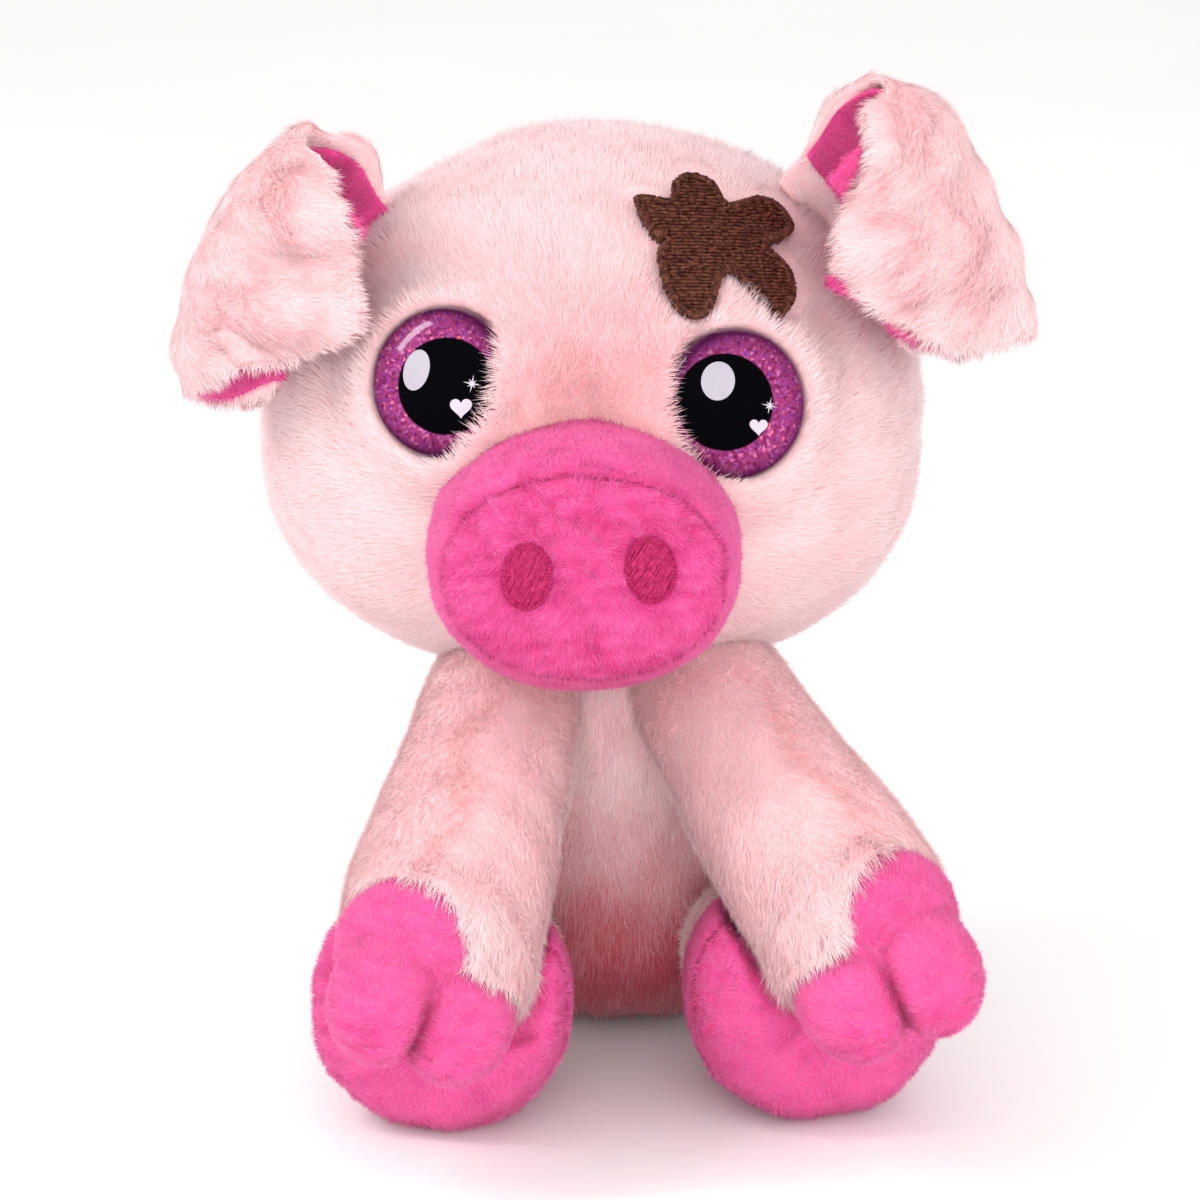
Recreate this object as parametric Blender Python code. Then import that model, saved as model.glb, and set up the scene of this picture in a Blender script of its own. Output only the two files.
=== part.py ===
# Sitting plush pig: sewn cloth covers over fibre fillings, with glitter eyes and cloven hooves.
# Metres, +Z up. The pig faces -Y and its own left side is +X.
# The origin is on the floor, under the middle of the torso's flat seat.

import bpy
import bmesh
from math import asin, ceil, copysign, cos, pi, radians, sin, sqrt, tau
from mathutils import Matrix, Vector

for stale in list(bpy.data.objects):
    bpy.data.objects.remove(stale, do_unlink=True)

# Cloth, seams and clearances
PILE_CLOTH = 0.0040
SHORT_CLOTH = 0.0025
STITCH_PAD = 0.0008
SEW_GAP = 0.0003
FILL_GAP = 0.0009
SEAM_GAP = 0.0004
MOVE_GAP = 0.0007
SEAM_LIP = 0.0012
FLOOR_PRESS = 0.0005

# Torso, a pear that sits on its flat seat
TORSO_HALF_WIDTH = 0.0330
TORSO_HALF_DEPTH = 0.0295
TORSO_HEIGHT = 0.0700
HIP_HEIGHT = 0.0180
SEAT_ROUNDING_SHARE = 0.85
TORSO_TAPER_SHARES = (
    (0.0, 1.0), (0.2, 0.985), (0.4, 0.92), (0.6, 0.82), (0.78, 0.71), (0.9, 0.56), (0.97, 0.34),
)
SEAT_STEPS = 7
TORSO_SEGMENTS = 24

# Pouch of pellets low in the torso
POUCH_RADIUS = 0.0195
POUCH_HALF_HEIGHT = 0.0075
POUCH_STEPS = 6

# Head, wider than deep, with full cheeks below
HEAD_HALF_WIDTH = 0.0540
HEAD_HALF_DEPTH = 0.0440
HEAD_HALF_HEIGHT = 0.0450
HEAD_SHIFT = -0.0047
NECK_HEIGHT = 0.0583
NECK_RADIUS = 0.0190
CHEEK_POWER = 2.35
CROWN_POWER = 2.0
HEAD_SEGMENTS = 32
HEAD_LEVELS = 12
NOD_UP = radians(10)
NOD_DOWN = radians(3)

# Snout, a tapered drum on the face
SNOUT_CENTRE_SHARES = (-0.017, -0.333)
SNOUT_BASE_HALF_WIDTH = 0.0245
SNOUT_BASE_HALF_HEIGHT = 0.0210
SNOUT_FACE_HALF_WIDTH = 0.0224
SNOUT_FACE_HALF_HEIGHT = 0.0166
SNOUT_REACH = 0.0218
SNOUT_CROWN = 0.0045
SNOUT_POWER = 2.15
SNOUT_BULGE_SHARES = ((0.0, 0.0), (0.3, 0.02), (0.55, 0.13), (0.75, 0.38), (0.9, 0.78))
SNOUT_CROWN_SHARES = ((0.93, 0.45), (0.8, 0.74), (0.55, 0.92), (0.28, 0.985))
SNOUT_FILLING_SHARES = (0.6, 0.62)
SNOUT_SEGMENTS = 24
SNOUT_ROOT_SHARE = 0.72

# Nostrils, satin ovals on the snout's face
NOSTRIL_HALF_WIDTH = 0.0037
NOSTRIL_HALF_HEIGHT = 0.0051
NOSTRIL_SHARES = {"right": (-0.385, 0.055), "left": (0.45, 0.12)}
NOSTRIL_LEAN = {"right": radians(4), "left": radians(-8)}
NOSTRIL_SEGMENTS = 16

# Mud splash embroidered on the brow, its outline as seen from the front and above
PATCH_WIDTH = 0.0252
PATCH_PLACE_SHARES = (0.380, 0.684)
PATCH_VIEW_TILT = radians(14)
PATCH_DEPTH = 0.0160
PATCH_OUTLINE_SHARES = (
    (-0.545, 0.267), (-0.42, 0.285), (-0.315, 0.27), (-0.30, 0.38), (-0.206, 0.448), (-0.048, 0.40),
    (0.042, 0.255), (0.218, 0.309), (0.364, 0.273), (0.455, 0.133), (0.40, 0.042), (0.273, 0.0),
    (0.418, -0.133), (0.455, -0.29), (0.364, -0.412), (0.255, -0.40), (0.133, -0.242), (0.042, -0.176),
    (-0.012, -0.224), (-0.067, -0.382), (-0.17, -0.442), (-0.297, -0.382), (-0.382, -0.188),
    (-0.394, -0.06), (-0.333, 0.018), (-0.436, 0.042),
)
PATCH_ROUNDING_SHARE = 0.0625

# Safety eyes: a clear dome on a shank, a glitter disc behind it and a washer inside the face
EYE_RADIUS = 0.0118
EYE_RIM = 0.0014
EYE_HEIGHT = 0.0066
EYE_SHANK_RADIUS = 0.0024
EYE_SHANK_LENGTH = 0.0130
EYE_SEAT_DEPTH = 0.0019
GLITTER_THICKNESS = 0.0004
WASHER_RADIUS = 0.0070
WASHER_THICKNESS = 0.0012
EYE_PLACE_SHARES = {"right": (-0.418, 0.236), "left": (0.408, 0.165)}
EYE_SEGMENTS = 20
WASHER_SEGMENTS = 16
EYE_DOME_STEPS = 5

# Ears, leaf-shaped sheets folded forward over their own base
EAR_CLOTH = 0.0036
LINING_CLOTH = 0.0016
EAR_WIDTH = 0.0470
EAR_PLANE = 0.0060
EAR_RUN = {"right": 0.0118, "left": 0.0180}
EAR_FOLD_RADIUS = 0.0070
EAR_FOLD_TURN = radians(142)
EAR_FLAP = {"right": 0.0300, "left": 0.0320}
EAR_SEAM_ANGLES = {"right": (radians(54), radians(0)), "left": (radians(60), radians(10))}
EAR_HALF_WIDTH_SHARES = (
    (0.0, 0.43), (0.2, 0.47), (0.4, 0.50), (0.6, 0.49), (0.78, 0.42), (0.9, 0.30), (0.97, 0.18), (1.0, 0.07),
)
EAR_DRIFT_SHARES = ((0.0, 0.0), (0.4, 0.0), (0.7, 0.07), (1.0, 0.22))
EAR_BOW = 0.0040
EAR_ROUNDING_SHARE = 0.22
EAR_TUCK = 0.0030
EAR_SWING = radians(18)
LINING_INSET = 0.0015
LINING_GAP = 0.0007
EAR_STEPS = 14
EAR_COLUMNS = 6

# Forelegs, tapered sleeves that reach forward over the hind feet
FORELEG_RADIUS = 0.0160
FORELEG_LENGTH = 0.0780
FORELEG_ROOT_HEIGHT = 0.0620
FORELEG_ROOT_FORWARD = 0.0035
FORELEG_SPREAD = {"right": 0.0162, "left": 0.0085}
FORELEG_SPLAY = {"right": radians(9.5), "left": radians(22)}
FORELEG_DROP = {"right": radians(22), "left": radians(20)}
FORELEG_TAPER_SHARES = (
    (0.03, 0.50), (0.1, 0.76), (0.2, 0.85), (0.35, 0.89), (0.55, 0.94), (0.75, 1.0), (0.9, 1.02),
)
FORELEG_WRIST_SHARE = 0.98
FORELEG_PIVOT_SHARE = 0.18
FORELEG_PIVOT_DROP = 0.0050
FORELEG_LIFT = radians(15)
FORELEG_LIFT_OUT = radians(60)
LIMB_SEGMENTS = 16

# Cloven hooves, two lobes on a cuff
HOOF_DROP = radians(30)
HOOF_ROLL = radians(29)
HOOF_REACH = 0.0122
LOBE_SPREAD = 0.0058
LOBE_LEAD = 0.0005
LOBE_HALF_WIDTH = 0.0090
LOBE_HALF_HEIGHT = 0.0098
LOBE_HALF_LENGTH = 0.0115
CUFF_LENGTH = 0.0135
CUFF_SHARES = ((0.45, 0.93), (0.75, 0.74), (0.93, 0.42))
HOOF_STUFFING = 0.0070
STUFFING_BLUNT_SHARES = (0.67, 0.8)
LOBE_LEVELS = 6

# Hind legs and feet: short sleeves, hot pink bands and bulging soles
FOOT_HALF_WIDTH = 0.0205
FOOT_HALF_HEIGHT = 0.0195
FOOT_POWER = 2.2
FOOT_DROP = 0.0060
HINDLEG_REACH_SHARE = 0.705
HINDLEG_LENGTH = FORELEG_LENGTH * HINDLEG_REACH_SHARE
HINDLEG_ROOT = 0.0100
HIP_SPREAD = 0.0220
HIP_FORWARD = {"right": 0.0285, "left": 0.0240}
HINDLEG_YAW = {"right": radians(10), "left": radians(15)}
HINDLEG_SHARES = ((0.05, 0.42), (0.12, 0.60), (0.25, 0.70), (0.36, 0.75))
ANKLE_SHARE = 0.42
ANKLE_SIZE_SHARE = 0.76
BAND_SHARES = ((0.55, 0.90), (0.66, 0.975))
SOLE_SEAM_SHARE = 0.76
SOLE_SHARES = ((0.18, 1.0), (0.55, 0.94), (0.85, 0.78), (0.97, 0.46))
SPLAY_IN = radians(4)
SPLAY_OUT = radians(12)

# Curly tail, a tapered tube wound round a level axis
TAIL_RADIUS = 0.0027
TAIL_TIP_SHARE = 0.60
TAIL_CURL_RADIUS = 0.0062
TAIL_PITCH = 0.0135
TAIL_TURNS = 1.40
TAIL_OPENING_SHARE = 0.60
TAIL_STUB = 0.0040
TAIL_HEIGHT = 0.0240
TAIL_STEPS = 22
TAIL_SEGMENTS = 8
TAIL_WAG = radians(8)

# How finely swept clearances follow a turning neighbour
SWEEP_STEP = radians(7)
OVERRUN = 0.0200

SIDES = {"right": -1, "left": 1}
UP = Vector((0, 0, 1))
FRONT = Vector((0, -1, 0))
RIGHTWARD = Vector((1, 0, 0))


def material(name, colour, roughness, sheen=0.0, metallic=0.0, transmission=0.0):
    finish = bpy.data.materials.new(name)
    finish.use_nodes = True
    shader = finish.node_tree.nodes["Principled BSDF"]
    shader.inputs["Base Color"].default_value = (*colour, 1)
    shader.inputs["Roughness"].default_value = roughness
    shader.inputs["Metallic"].default_value = metallic
    shader.inputs["Sheen Weight"].default_value = sheen
    shader.inputs["Transmission Weight"].default_value = transmission
    finish.diffuse_color = (*colour, 1)
    return finish


PALE_PILE = (0.90, 0.62, 0.62)
HOT_PINK = (0.82, 0.09, 0.34)
FIBRE = (0.90, 0.90, 0.88)


def read_shares(shares, at):
    """The value of a table of (place, value) shares at a place, in straight runs."""
    for (low, low_value), (high, high_value) in zip(shares, shares[1:]):
        if at <= high:
            return low_value + (high_value - low_value) * (at - low) / (high - low)
    return shares[-1][1]


def turn_about(axis, pivot, angle):
    return Matrix.Translation(pivot) @ Matrix.Rotation(angle, 4, axis) @ Matrix.Translation(-pivot)


def oval(centre, across, rise, half_width, half_height, power, count):
    """A ring of points on a superellipse, with a flat edge rather than a corner at its foot."""
    ring = []
    for step in range(count):
        turn = tau * (step + 0.5) / count
        sideways = copysign(abs(cos(turn)) ** (2 / power), cos(turn)) * half_width
        upward = copysign(abs(sin(turn)) ** (2 / power), sin(turn)) * half_height
        ring.append(centre + across * sideways + rise * upward)
    return ring


def loft(rings, start=None, end=None):
    """A skin over rings of points, closed with a point at either end where one is given."""
    mesh = bmesh.new()
    loops = [[mesh.verts.new(point) for point in ring] for ring in rings]
    for near, far in zip(loops, loops[1:]):
        for i, corner in enumerate(near):
            j = (i + 1) % len(near)
            mesh.faces.new((corner, near[j], far[j], far[i]))
    for tip, loop in ((start, loops[0]), (end, loops[-1])):
        if tip is not None:
            peak = mesh.verts.new(tip)
            for i, corner in enumerate(loop):
                mesh.faces.new((corner, loop[(i + 1) % len(loop)], peak))
    bmesh.ops.recalc_face_normals(mesh, faces=mesh.faces)
    return mesh


def turned(profile, centre, axis, count, closed=False):
    """A body of revolution from (radius, height) pairs; a closed profile makes a ring."""
    spin = axis.to_track_quat("Z", "Y").to_matrix()
    mesh = bmesh.new()
    loops = []
    for radius, height in profile:
        if radius == 0:
            loops.append([mesh.verts.new(centre + axis * height)] * count)
            continue
        loop = []
        for step in range(count):
            turn = tau * step / count
            flat = Vector((radius * cos(turn), radius * sin(turn), height))
            loop.append(mesh.verts.new(centre + spin @ flat))
        loops.append(loop)
    pairs = list(zip(loops, loops[1:]))
    if closed:
        pairs.append((loops[-1], loops[0]))
    for near, far in pairs:
        for i in range(count):
            j = (i + 1) % count
            corners = list(dict.fromkeys((near[i], near[j], far[j], far[i])))
            mesh.faces.new(corners)
    bmesh.ops.recalc_face_normals(mesh, faces=mesh.faces)
    return mesh


def hull(points):
    """The convex body round a set of points."""
    mesh = bmesh.new()
    for point in points:
        mesh.verts.new(point)
    wrapped = bmesh.ops.convex_hull(mesh, input=mesh.verts)
    left_over = wrapped["geom_interior"] + wrapped["geom_unused"]
    spare = {part for part in left_over if isinstance(part, bmesh.types.BMVert)}
    bmesh.ops.delete(mesh, geom=list(spare), context="VERTS")
    bmesh.ops.recalc_face_normals(mesh, faces=mesh.faces)
    return mesh


def sweep(lowest, highest):
    """Angles from one limit to the other, no further apart than the sweep step."""
    steps = max(1, ceil((highest - lowest) / SWEEP_STEP))
    return [lowest + (highest - lowest) * step / steps for step in range(steps + 1)]


def press_below(spots, point, normal):
    """Whatever stands past a plane is pressed straight up or down onto it."""
    for spot in spots:
        over = (spot - point).dot(normal)
        if over > 0:
            spot.z -= over / normal.z


def cloth_between(outer, inner, outer_tip=None, inner_tip=None):
    """A closed wall between two nested sets of rings, open at the end too unless it has tips."""
    mesh = bmesh.new()
    layers = []
    for rings in (outer, inner):
        layers.append([[mesh.verts.new(point) for point in ring] for ring in rings])
    count = len(outer[0])
    joined = [(layers[0][0], layers[1][0])]
    for loops in layers:
        joined += zip(loops, loops[1:])
    if outer_tip is None:
        joined.append((layers[0][-1], layers[1][-1]))
    else:
        for loops, tip in zip(layers, (outer_tip, inner_tip)):
            peak = mesh.verts.new(tip)
            for i in range(count):
                mesh.faces.new((loops[-1][i], loops[-1][(i + 1) % count], peak))
    for near, far in joined:
        for i in range(count):
            j = (i + 1) % count
            mesh.faces.new((near[i], near[j], far[j], far[i]))
    bmesh.ops.recalc_face_normals(mesh, faces=mesh.faces)
    return mesh


# Each body's joint has an empty on its axis, and its pieces hang from that empty.
anchors = {}


def anchor(body, pivot, parent=None):
    empty = bpy.data.objects.new(f"{body}_joint", None)
    bpy.context.collection.objects.link(empty)
    empty.empty_display_size = FORELEG_RADIUS
    if parent:
        empty.parent = anchors[parent][0]
        empty.location = pivot - anchors[parent][1]
    else:
        empty.location = pivot
    anchors[body] = (empty, pivot)


def piece(name, mesh, finish, body):
    """A sub-part whose mesh is drawn in place and hangs from its body's joint."""
    empty, pivot = anchors[body]
    mesh.transform(Matrix.Translation(-pivot))
    data = bpy.data.meshes.new(name)
    mesh.to_mesh(data)
    mesh.free()
    data.shade_smooth()
    data.set_sharp_from_angle(angle=radians(50))
    data.materials.append(finish)
    made = bpy.data.objects.new(name, data)
    bpy.context.collection.objects.link(made)
    made.parent = empty
    return made


def tool(name, mesh):
    """A shape that only cuts others."""
    data = bpy.data.meshes.new(name)
    mesh.to_mesh(data)
    mesh.free()
    made = bpy.data.objects.new(name, data)
    bpy.context.collection.objects.link(made)
    made.hide_render = True
    made.display_type = "WIRE"
    return made


def combine(target, other, operation="DIFFERENCE", solver="EXACT"):
    """Cuts or joins two shapes; the thin folded ears are cut by the sturdier MANIFOLD solver."""
    cut = target.modifiers.new(other.name, "BOOLEAN")
    cut.operation = operation
    cut.solver = solver
    cut.object = other


# Torso

def torso_rings(grow):
    rings = []
    for step in range(1, SEAT_STEPS):
        lift = -pi / 2 + pi / 2 * step / SEAT_STEPS
        spread = cos(lift) ** SEAT_ROUNDING_SHARE
        height = HIP_HEIGHT + (HIP_HEIGHT + FLOOR_PRESS + grow) * sin(lift)
        rings.append((height, spread))
    rise = TORSO_HEIGHT + grow - HIP_HEIGHT
    rings += [(HIP_HEIGHT + rise * place, spread) for place, spread in TORSO_TAPER_SHARES]
    drawn = []
    for height, spread in rings:
        half_width = (TORSO_HALF_WIDTH + grow) * spread
        half_depth = (TORSO_HALF_DEPTH + grow) * spread
        level = max(height, torso_seat(grow).z)
        drawn.append(oval(UP * level, RIGHTWARD, FRONT, half_width, half_depth, 2, TORSO_SEGMENTS))
    return drawn


def torso_seat(grow):
    """The middle of the flat seat, or of the inner face of its cloth."""
    return UP * max(0, -grow)


def torso_form(grow=0.0):
    return loft(torso_rings(grow), torso_seat(grow), UP * (TORSO_HEIGHT + grow))


# Head

def head_centre():
    opening = (1 - (NECK_RADIUS / HEAD_HALF_WIDTH) ** CHEEK_POWER) ** (1 / CHEEK_POWER)
    return Vector((HEAD_SHIFT, 0, NECK_HEIGHT + HEAD_HALF_HEIGHT * opening)), opening


HEAD_CENTRE, NECK_DROP = head_centre()


def head_spread(rise):
    """How wide the head is at a level, as a share of its widest."""
    power = CHEEK_POWER if rise < 0 else CROWN_POWER
    return max(0, 1 - abs(rise) ** power) ** (1 / power)


def head_rings(grow):
    lowest = -asin(NECK_DROP)
    rings = []
    for level in range(HEAD_LEVELS):
        rise = sin(lowest + (pi / 2 - lowest) * level / HEAD_LEVELS)
        spread = head_spread(rise)
        centre = HEAD_CENTRE + UP * (HEAD_HALF_HEIGHT + grow) * rise
        half_width = (HEAD_HALF_WIDTH + grow) * spread
        half_depth = (HEAD_HALF_DEPTH + grow) * spread
        rings.append(oval(centre, RIGHTWARD, FRONT, half_width, half_depth, 2, HEAD_SEGMENTS))
    return rings


def head_top(grow):
    return HEAD_CENTRE + UP * (HEAD_HALF_HEIGHT + grow)


def head_form(grow=0.0):
    """The head's outer shape, closed across the neck."""
    bottom = HEAD_CENTRE - UP * (HEAD_HALF_HEIGHT + grow)
    return loft(head_rings(grow), bottom, head_top(grow))


def face_point(across_share, up_share):
    """A point on the front of the head, and the way out of the cloth there."""
    spread = head_spread(up_share)
    forward = sqrt(spread ** 2 - across_share ** 2)
    point = HEAD_CENTRE + Vector(
        (HEAD_HALF_WIDTH * across_share, -HEAD_HALF_DEPTH * forward, HEAD_HALF_HEIGHT * up_share)
    )
    slopes = (across_share / HEAD_HALF_WIDTH, -forward / HEAD_HALF_DEPTH, up_share / HEAD_HALF_HEIGHT)
    return point, Vector(slopes).normalized()


def mesh_points(mesh):
    points = [corner.co.copy() for corner in mesh.verts]
    mesh.free()
    return points


NECK_PIVOT = Vector((0, 0, NECK_HEIGHT))
HEAD_POINTS = mesh_points(head_form(MOVE_GAP))
TORSO_POINTS = mesh_points(torso_form(MOVE_GAP))
CLOSE_HEAD_POINTS = mesh_points(head_form(SEW_GAP))
CLOSE_TORSO_POINTS = mesh_points(torso_form(SEW_GAP))


def head_poses():
    return [turn_about(RIGHTWARD, NECK_PIVOT, nod) for nod in sweep(-NOD_UP, NOD_DOWN)]


def head_limits():
    return [turn_about(RIGHTWARD, NECK_PIVOT, nod) for nod in (-NOD_UP, 0, NOD_DOWN)]


def swept_tool(name, points, moves):
    return tool(name, hull([move @ point for move in moves for point in points]))


def make_torso():
    anchor("torso", Vector())
    cover = material("torso_pile", PALE_PILE, 0.9, sheen=0.4)
    outer, inner = [torso_rings(grow)[::-1] for grow in (0, -PILE_CLOTH)]
    cloth = cloth_between(outer, inner, torso_seat(0), torso_seat(-PILE_CLOTH))
    skin = piece("torso_skin", cloth, cover, "torso")
    head_room = swept_tool("head_over_torso", HEAD_POINTS, head_poses())
    combine(skin, head_room)

    pouch_centre = UP * (PILE_CLOTH + SEW_GAP + POUCH_HALF_HEIGHT)
    pouch_form = [(0, -POUCH_HALF_HEIGHT)]
    for step in range(1, POUCH_STEPS):
        lift = -pi / 2 + pi * step / POUCH_STEPS
        pouch_form.append((POUCH_RADIUS * cos(lift), POUCH_HALF_HEIGHT * sin(lift)))
    pouch_form.append((0, POUCH_HALF_HEIGHT))
    bag = material("pouch_cloth", (0.75, 0.74, 0.70), 0.9)
    piece("pellet_pouch", turned(pouch_form, pouch_centre, UP, LIMB_SEGMENTS), bag, "torso")

    stuffing = torso_form(-PILE_CLOTH - FILL_GAP)
    everything = stuffing.verts[:] + stuffing.edges[:] + stuffing.faces[:]
    bmesh.ops.bisect_plane(stuffing, geom=everything, plane_co=pouch_centre, plane_no=-UP, clear_outer=True)
    open_rim = [edge for edge in stuffing.edges if edge.is_boundary]
    bmesh.ops.contextual_create(stuffing, geom=open_rim)
    filling = piece("torso_filling", stuffing, material("torso_fibre", FIBRE, 1.0), "torso")
    combine(filling, head_room)
    hollow_form = [(0, -POUCH_HALF_HEIGHT - SEW_GAP)]
    for radius, height in pouch_form[1:-1]:
        grown = 1 + SEW_GAP / POUCH_HALF_HEIGHT
        hollow_form.append((radius * grown, height * grown))
    hollow_form.append((0, POUCH_HALF_HEIGHT + SEW_GAP))
    combine(filling, tool("pouch_room", turned(hollow_form, pouch_centre, UP, LIMB_SEGMENTS)))


def make_head():
    anchor("head", NECK_PIVOT, "torso")
    cover = material("head_pile", PALE_PILE, 0.9, sheen=0.4)
    cloth = cloth_between(head_rings(0), head_rings(-PILE_CLOTH), head_top(0), head_top(-PILE_CLOTH))
    skin = piece("head_skin", cloth, cover, "head")

    inset = -PILE_CLOTH - FILL_GAP
    neck = HEAD_CENTRE - UP * HEAD_HALF_HEIGHT * NECK_DROP
    stuffing = loft(head_rings(inset), neck - UP * inset, head_top(inset))
    filling = piece("head_filling", stuffing, material("head_fibre", FIBRE, 1.0), "head")

    lens = material("clear_lens", (0.95, 0.93, 0.96), 0.03, transmission=0.9)
    glitter = material("glitter_disc", (0.55, 0.10, 0.50), 0.3, metallic=0.6)
    plastic = material("washer_plastic", (0.85, 0.85, 0.85), 0.5)
    for side in SIDES:
        spot, outward = face_point(*EYE_PLACE_SHARES[side])
        seat = spot - outward * EYE_SEAT_DEPTH
        disc_back = SEW_GAP
        disc_front = disc_back + GLITTER_THICKNESS
        lens_back = disc_front + SEW_GAP
        shank_end = lens_back - EYE_SHANK_LENGTH
        hole_radius = EYE_SHANK_RADIUS + SEW_GAP

        dome = [
            (0, shank_end), (EYE_SHANK_RADIUS, shank_end),
            (EYE_SHANK_RADIUS, lens_back), (EYE_RADIUS, lens_back),
        ]
        for step in range(EYE_DOME_STEPS):
            lift = pi / 2 * step / EYE_DOME_STEPS
            height = lens_back + EYE_RIM + (EYE_HEIGHT - EYE_RIM) * sin(lift)
            dome.append((EYE_RADIUS * cos(lift), height))
        dome.append((0, lens_back + EYE_HEIGHT))
        piece(f"eye_lens_{side}", turned(dome, seat, outward, EYE_SEGMENTS), lens, "head")

        rim = EYE_RADIUS - SEW_GAP
        ring = [(hole_radius, disc_back), (rim, disc_back), (rim, disc_front), (hole_radius, disc_front)]
        piece(f"eye_glitter_{side}", turned(ring, seat, outward, EYE_SEGMENTS, closed=True), glitter, "head")

        hollow = WASHER_RADIUS ** 2 / (2 * HEAD_HALF_DEPTH)
        washer_front = EYE_SEAT_DEPTH - PILE_CLOTH - hollow - FILL_GAP
        washer_back = washer_front - WASHER_THICKNESS
        ring = [
            (hole_radius, washer_back), (WASHER_RADIUS, washer_back),
            (WASHER_RADIUS, washer_front), (hole_radius, washer_front),
        ]
        washer = turned(ring, seat, outward, WASHER_SEGMENTS, closed=True)
        piece(f"eye_washer_{side}", washer, plastic, "head")

        pocket_radius = EYE_RADIUS + SEW_GAP
        pocket = [
            (0, -OVERRUN), (hole_radius, -OVERRUN), (hole_radius, 0), (pocket_radius, 0),
            (pocket_radius, OVERRUN), (0, OVERRUN),
        ]
        combine(skin, tool(f"eye_pocket_{side}", turned(pocket, seat, outward, EYE_SEGMENTS)))
        room_radius = WASHER_RADIUS + SEW_GAP
        room_end = shank_end - SEW_GAP
        room = [(0, room_end), (room_radius, room_end), (room_radius, OVERRUN), (0, OVERRUN)]
        combine(filling, tool(f"washer_room_{side}", turned(room, seat, outward, WASHER_SEGMENTS)))


# Snout

def snout_axis():
    across, up = SNOUT_CENTRE_SHARES
    point, _ = face_point(across, up)
    return point


SNOUT_FOOT = snout_axis()
SNOUT_SEAM = SNOUT_REACH - SNOUT_CROWN


def snout_ring(reach, taper, grow=0.0, size=1.0):
    """A ring across the snout: reach is measured forward from the face, taper from base to seam."""
    half_width = SNOUT_BASE_HALF_WIDTH + (SNOUT_FACE_HALF_WIDTH - SNOUT_BASE_HALF_WIDTH) * taper
    half_height = SNOUT_BASE_HALF_HEIGHT + (SNOUT_FACE_HALF_HEIGHT - SNOUT_BASE_HALF_HEIGHT) * taper
    half_width = (half_width + grow) * size
    half_height = (half_height + grow) * size
    centre = SNOUT_FOOT + FRONT * reach
    return oval(centre, RIGHTWARD, UP, half_width, half_height, SNOUT_POWER, SNOUT_SEGMENTS)


def snout_side_rings(grow, end):
    root = -HEAD_HALF_DEPTH * (1 - SNOUT_ROOT_SHARE)
    rings = [snout_ring(root, 0, grow)]
    for place, taper in SNOUT_BULGE_SHARES[1:]:
        rings.append(snout_ring(end * place, taper, grow))
    return rings + [snout_ring(end - SEAM_LIP, 1, grow), snout_ring(end, 1, grow)]


def snout_face_rings(grow):
    """Rings over the front panel, and its foremost point."""
    start = SNOUT_SEAM + SEAM_GAP
    rings = [snout_ring(start, 1, grow), snout_ring(start + SEAM_LIP, 1, grow)]
    base = start + SEAM_LIP
    for size, rise in SNOUT_CROWN_SHARES:
        crown = SNOUT_CROWN - SEAM_GAP - SEAM_LIP + grow
        rings.append(snout_ring(base + crown * rise, 1, grow, size))
    tip = SNOUT_FOOT + FRONT * (SNOUT_REACH + grow)
    return rings, tip


def make_snout():
    short_pile = material("snout_pile", HOT_PINK, 0.85, sheen=0.4)
    against_face = tool("face_behind_snout", head_form(SEW_GAP))
    outer, inner = [snout_side_rings(grow, SNOUT_SEAM) for grow in (0, -SHORT_CLOTH)]
    band = piece("snout_band", cloth_between(outer, inner), short_pile, "head")
    combine(band, against_face)
    for side in SIDES:
        combine(band, bpy.data.objects[f"eye_pocket_{side}"])

    outer, outer_tip = snout_face_rings(0)
    inner, inner_tip = snout_face_rings(-SHORT_CLOTH)
    piece("snout_face", cloth_between(outer, inner, outer_tip, inner_tip), short_pile, "head")

    inset = -SHORT_CLOTH - FILL_GAP
    rings = snout_side_rings(inset, SNOUT_SEAM)
    cap = SNOUT_FOOT + FRONT * (SNOUT_REACH + inset)
    rise, size = SNOUT_FILLING_SHARES
    rings.append(snout_ring(SNOUT_SEAM + (SNOUT_CROWN + inset) * rise, 1, inset, size))
    root = SNOUT_FOOT - FRONT * HEAD_HALF_DEPTH * (1 - SNOUT_ROOT_SHARE)
    stuffing = loft(rings, root, cap)
    filling = piece("snout_filling", stuffing, material("snout_fibre", FIBRE, 1.0), "head")
    combine(filling, against_face)

    satin = material("nostril_satin", (0.48, 0.02, 0.13), 0.45, sheen=0.2)
    for side in SIDES:
        across, up = NOSTRIL_SHARES[side]
        middle = SNOUT_FOOT + RIGHTWARD * SNOUT_FACE_HALF_WIDTH * across + UP * SNOUT_FACE_HALF_HEIGHT * up
        lean = Matrix.Rotation(NOSTRIL_LEAN[side], 3, "Y")
        near, far = [
            oval(middle + FRONT * reach, lean @ RIGHTWARD, lean @ UP,
                 NOSTRIL_HALF_WIDTH, NOSTRIL_HALF_HEIGHT, 2, NOSTRIL_SEGMENTS)
            for reach in (SNOUT_SEAM, SNOUT_REACH + OVERRUN)
        ]
        block = loft([near, far], middle + FRONT * SNOUT_SEAM, middle + FRONT * (SNOUT_REACH + OVERRUN))
        pad = piece(f"nostril_{side}", block, satin, "head")
        over, over_tip = snout_face_rings(SEW_GAP + STITCH_PAD)
        under, under_tip = snout_face_rings(SEW_GAP)
        back = SNOUT_FOOT - FRONT * OVERRUN
        combine(pad, tool(f"nostril_top_{side}", loft(over, back, over_tip)), "INTERSECT")
        combine(pad, tool(f"nostril_under_{side}", loft(under, back, under_tip)))


# Mud splash

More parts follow.
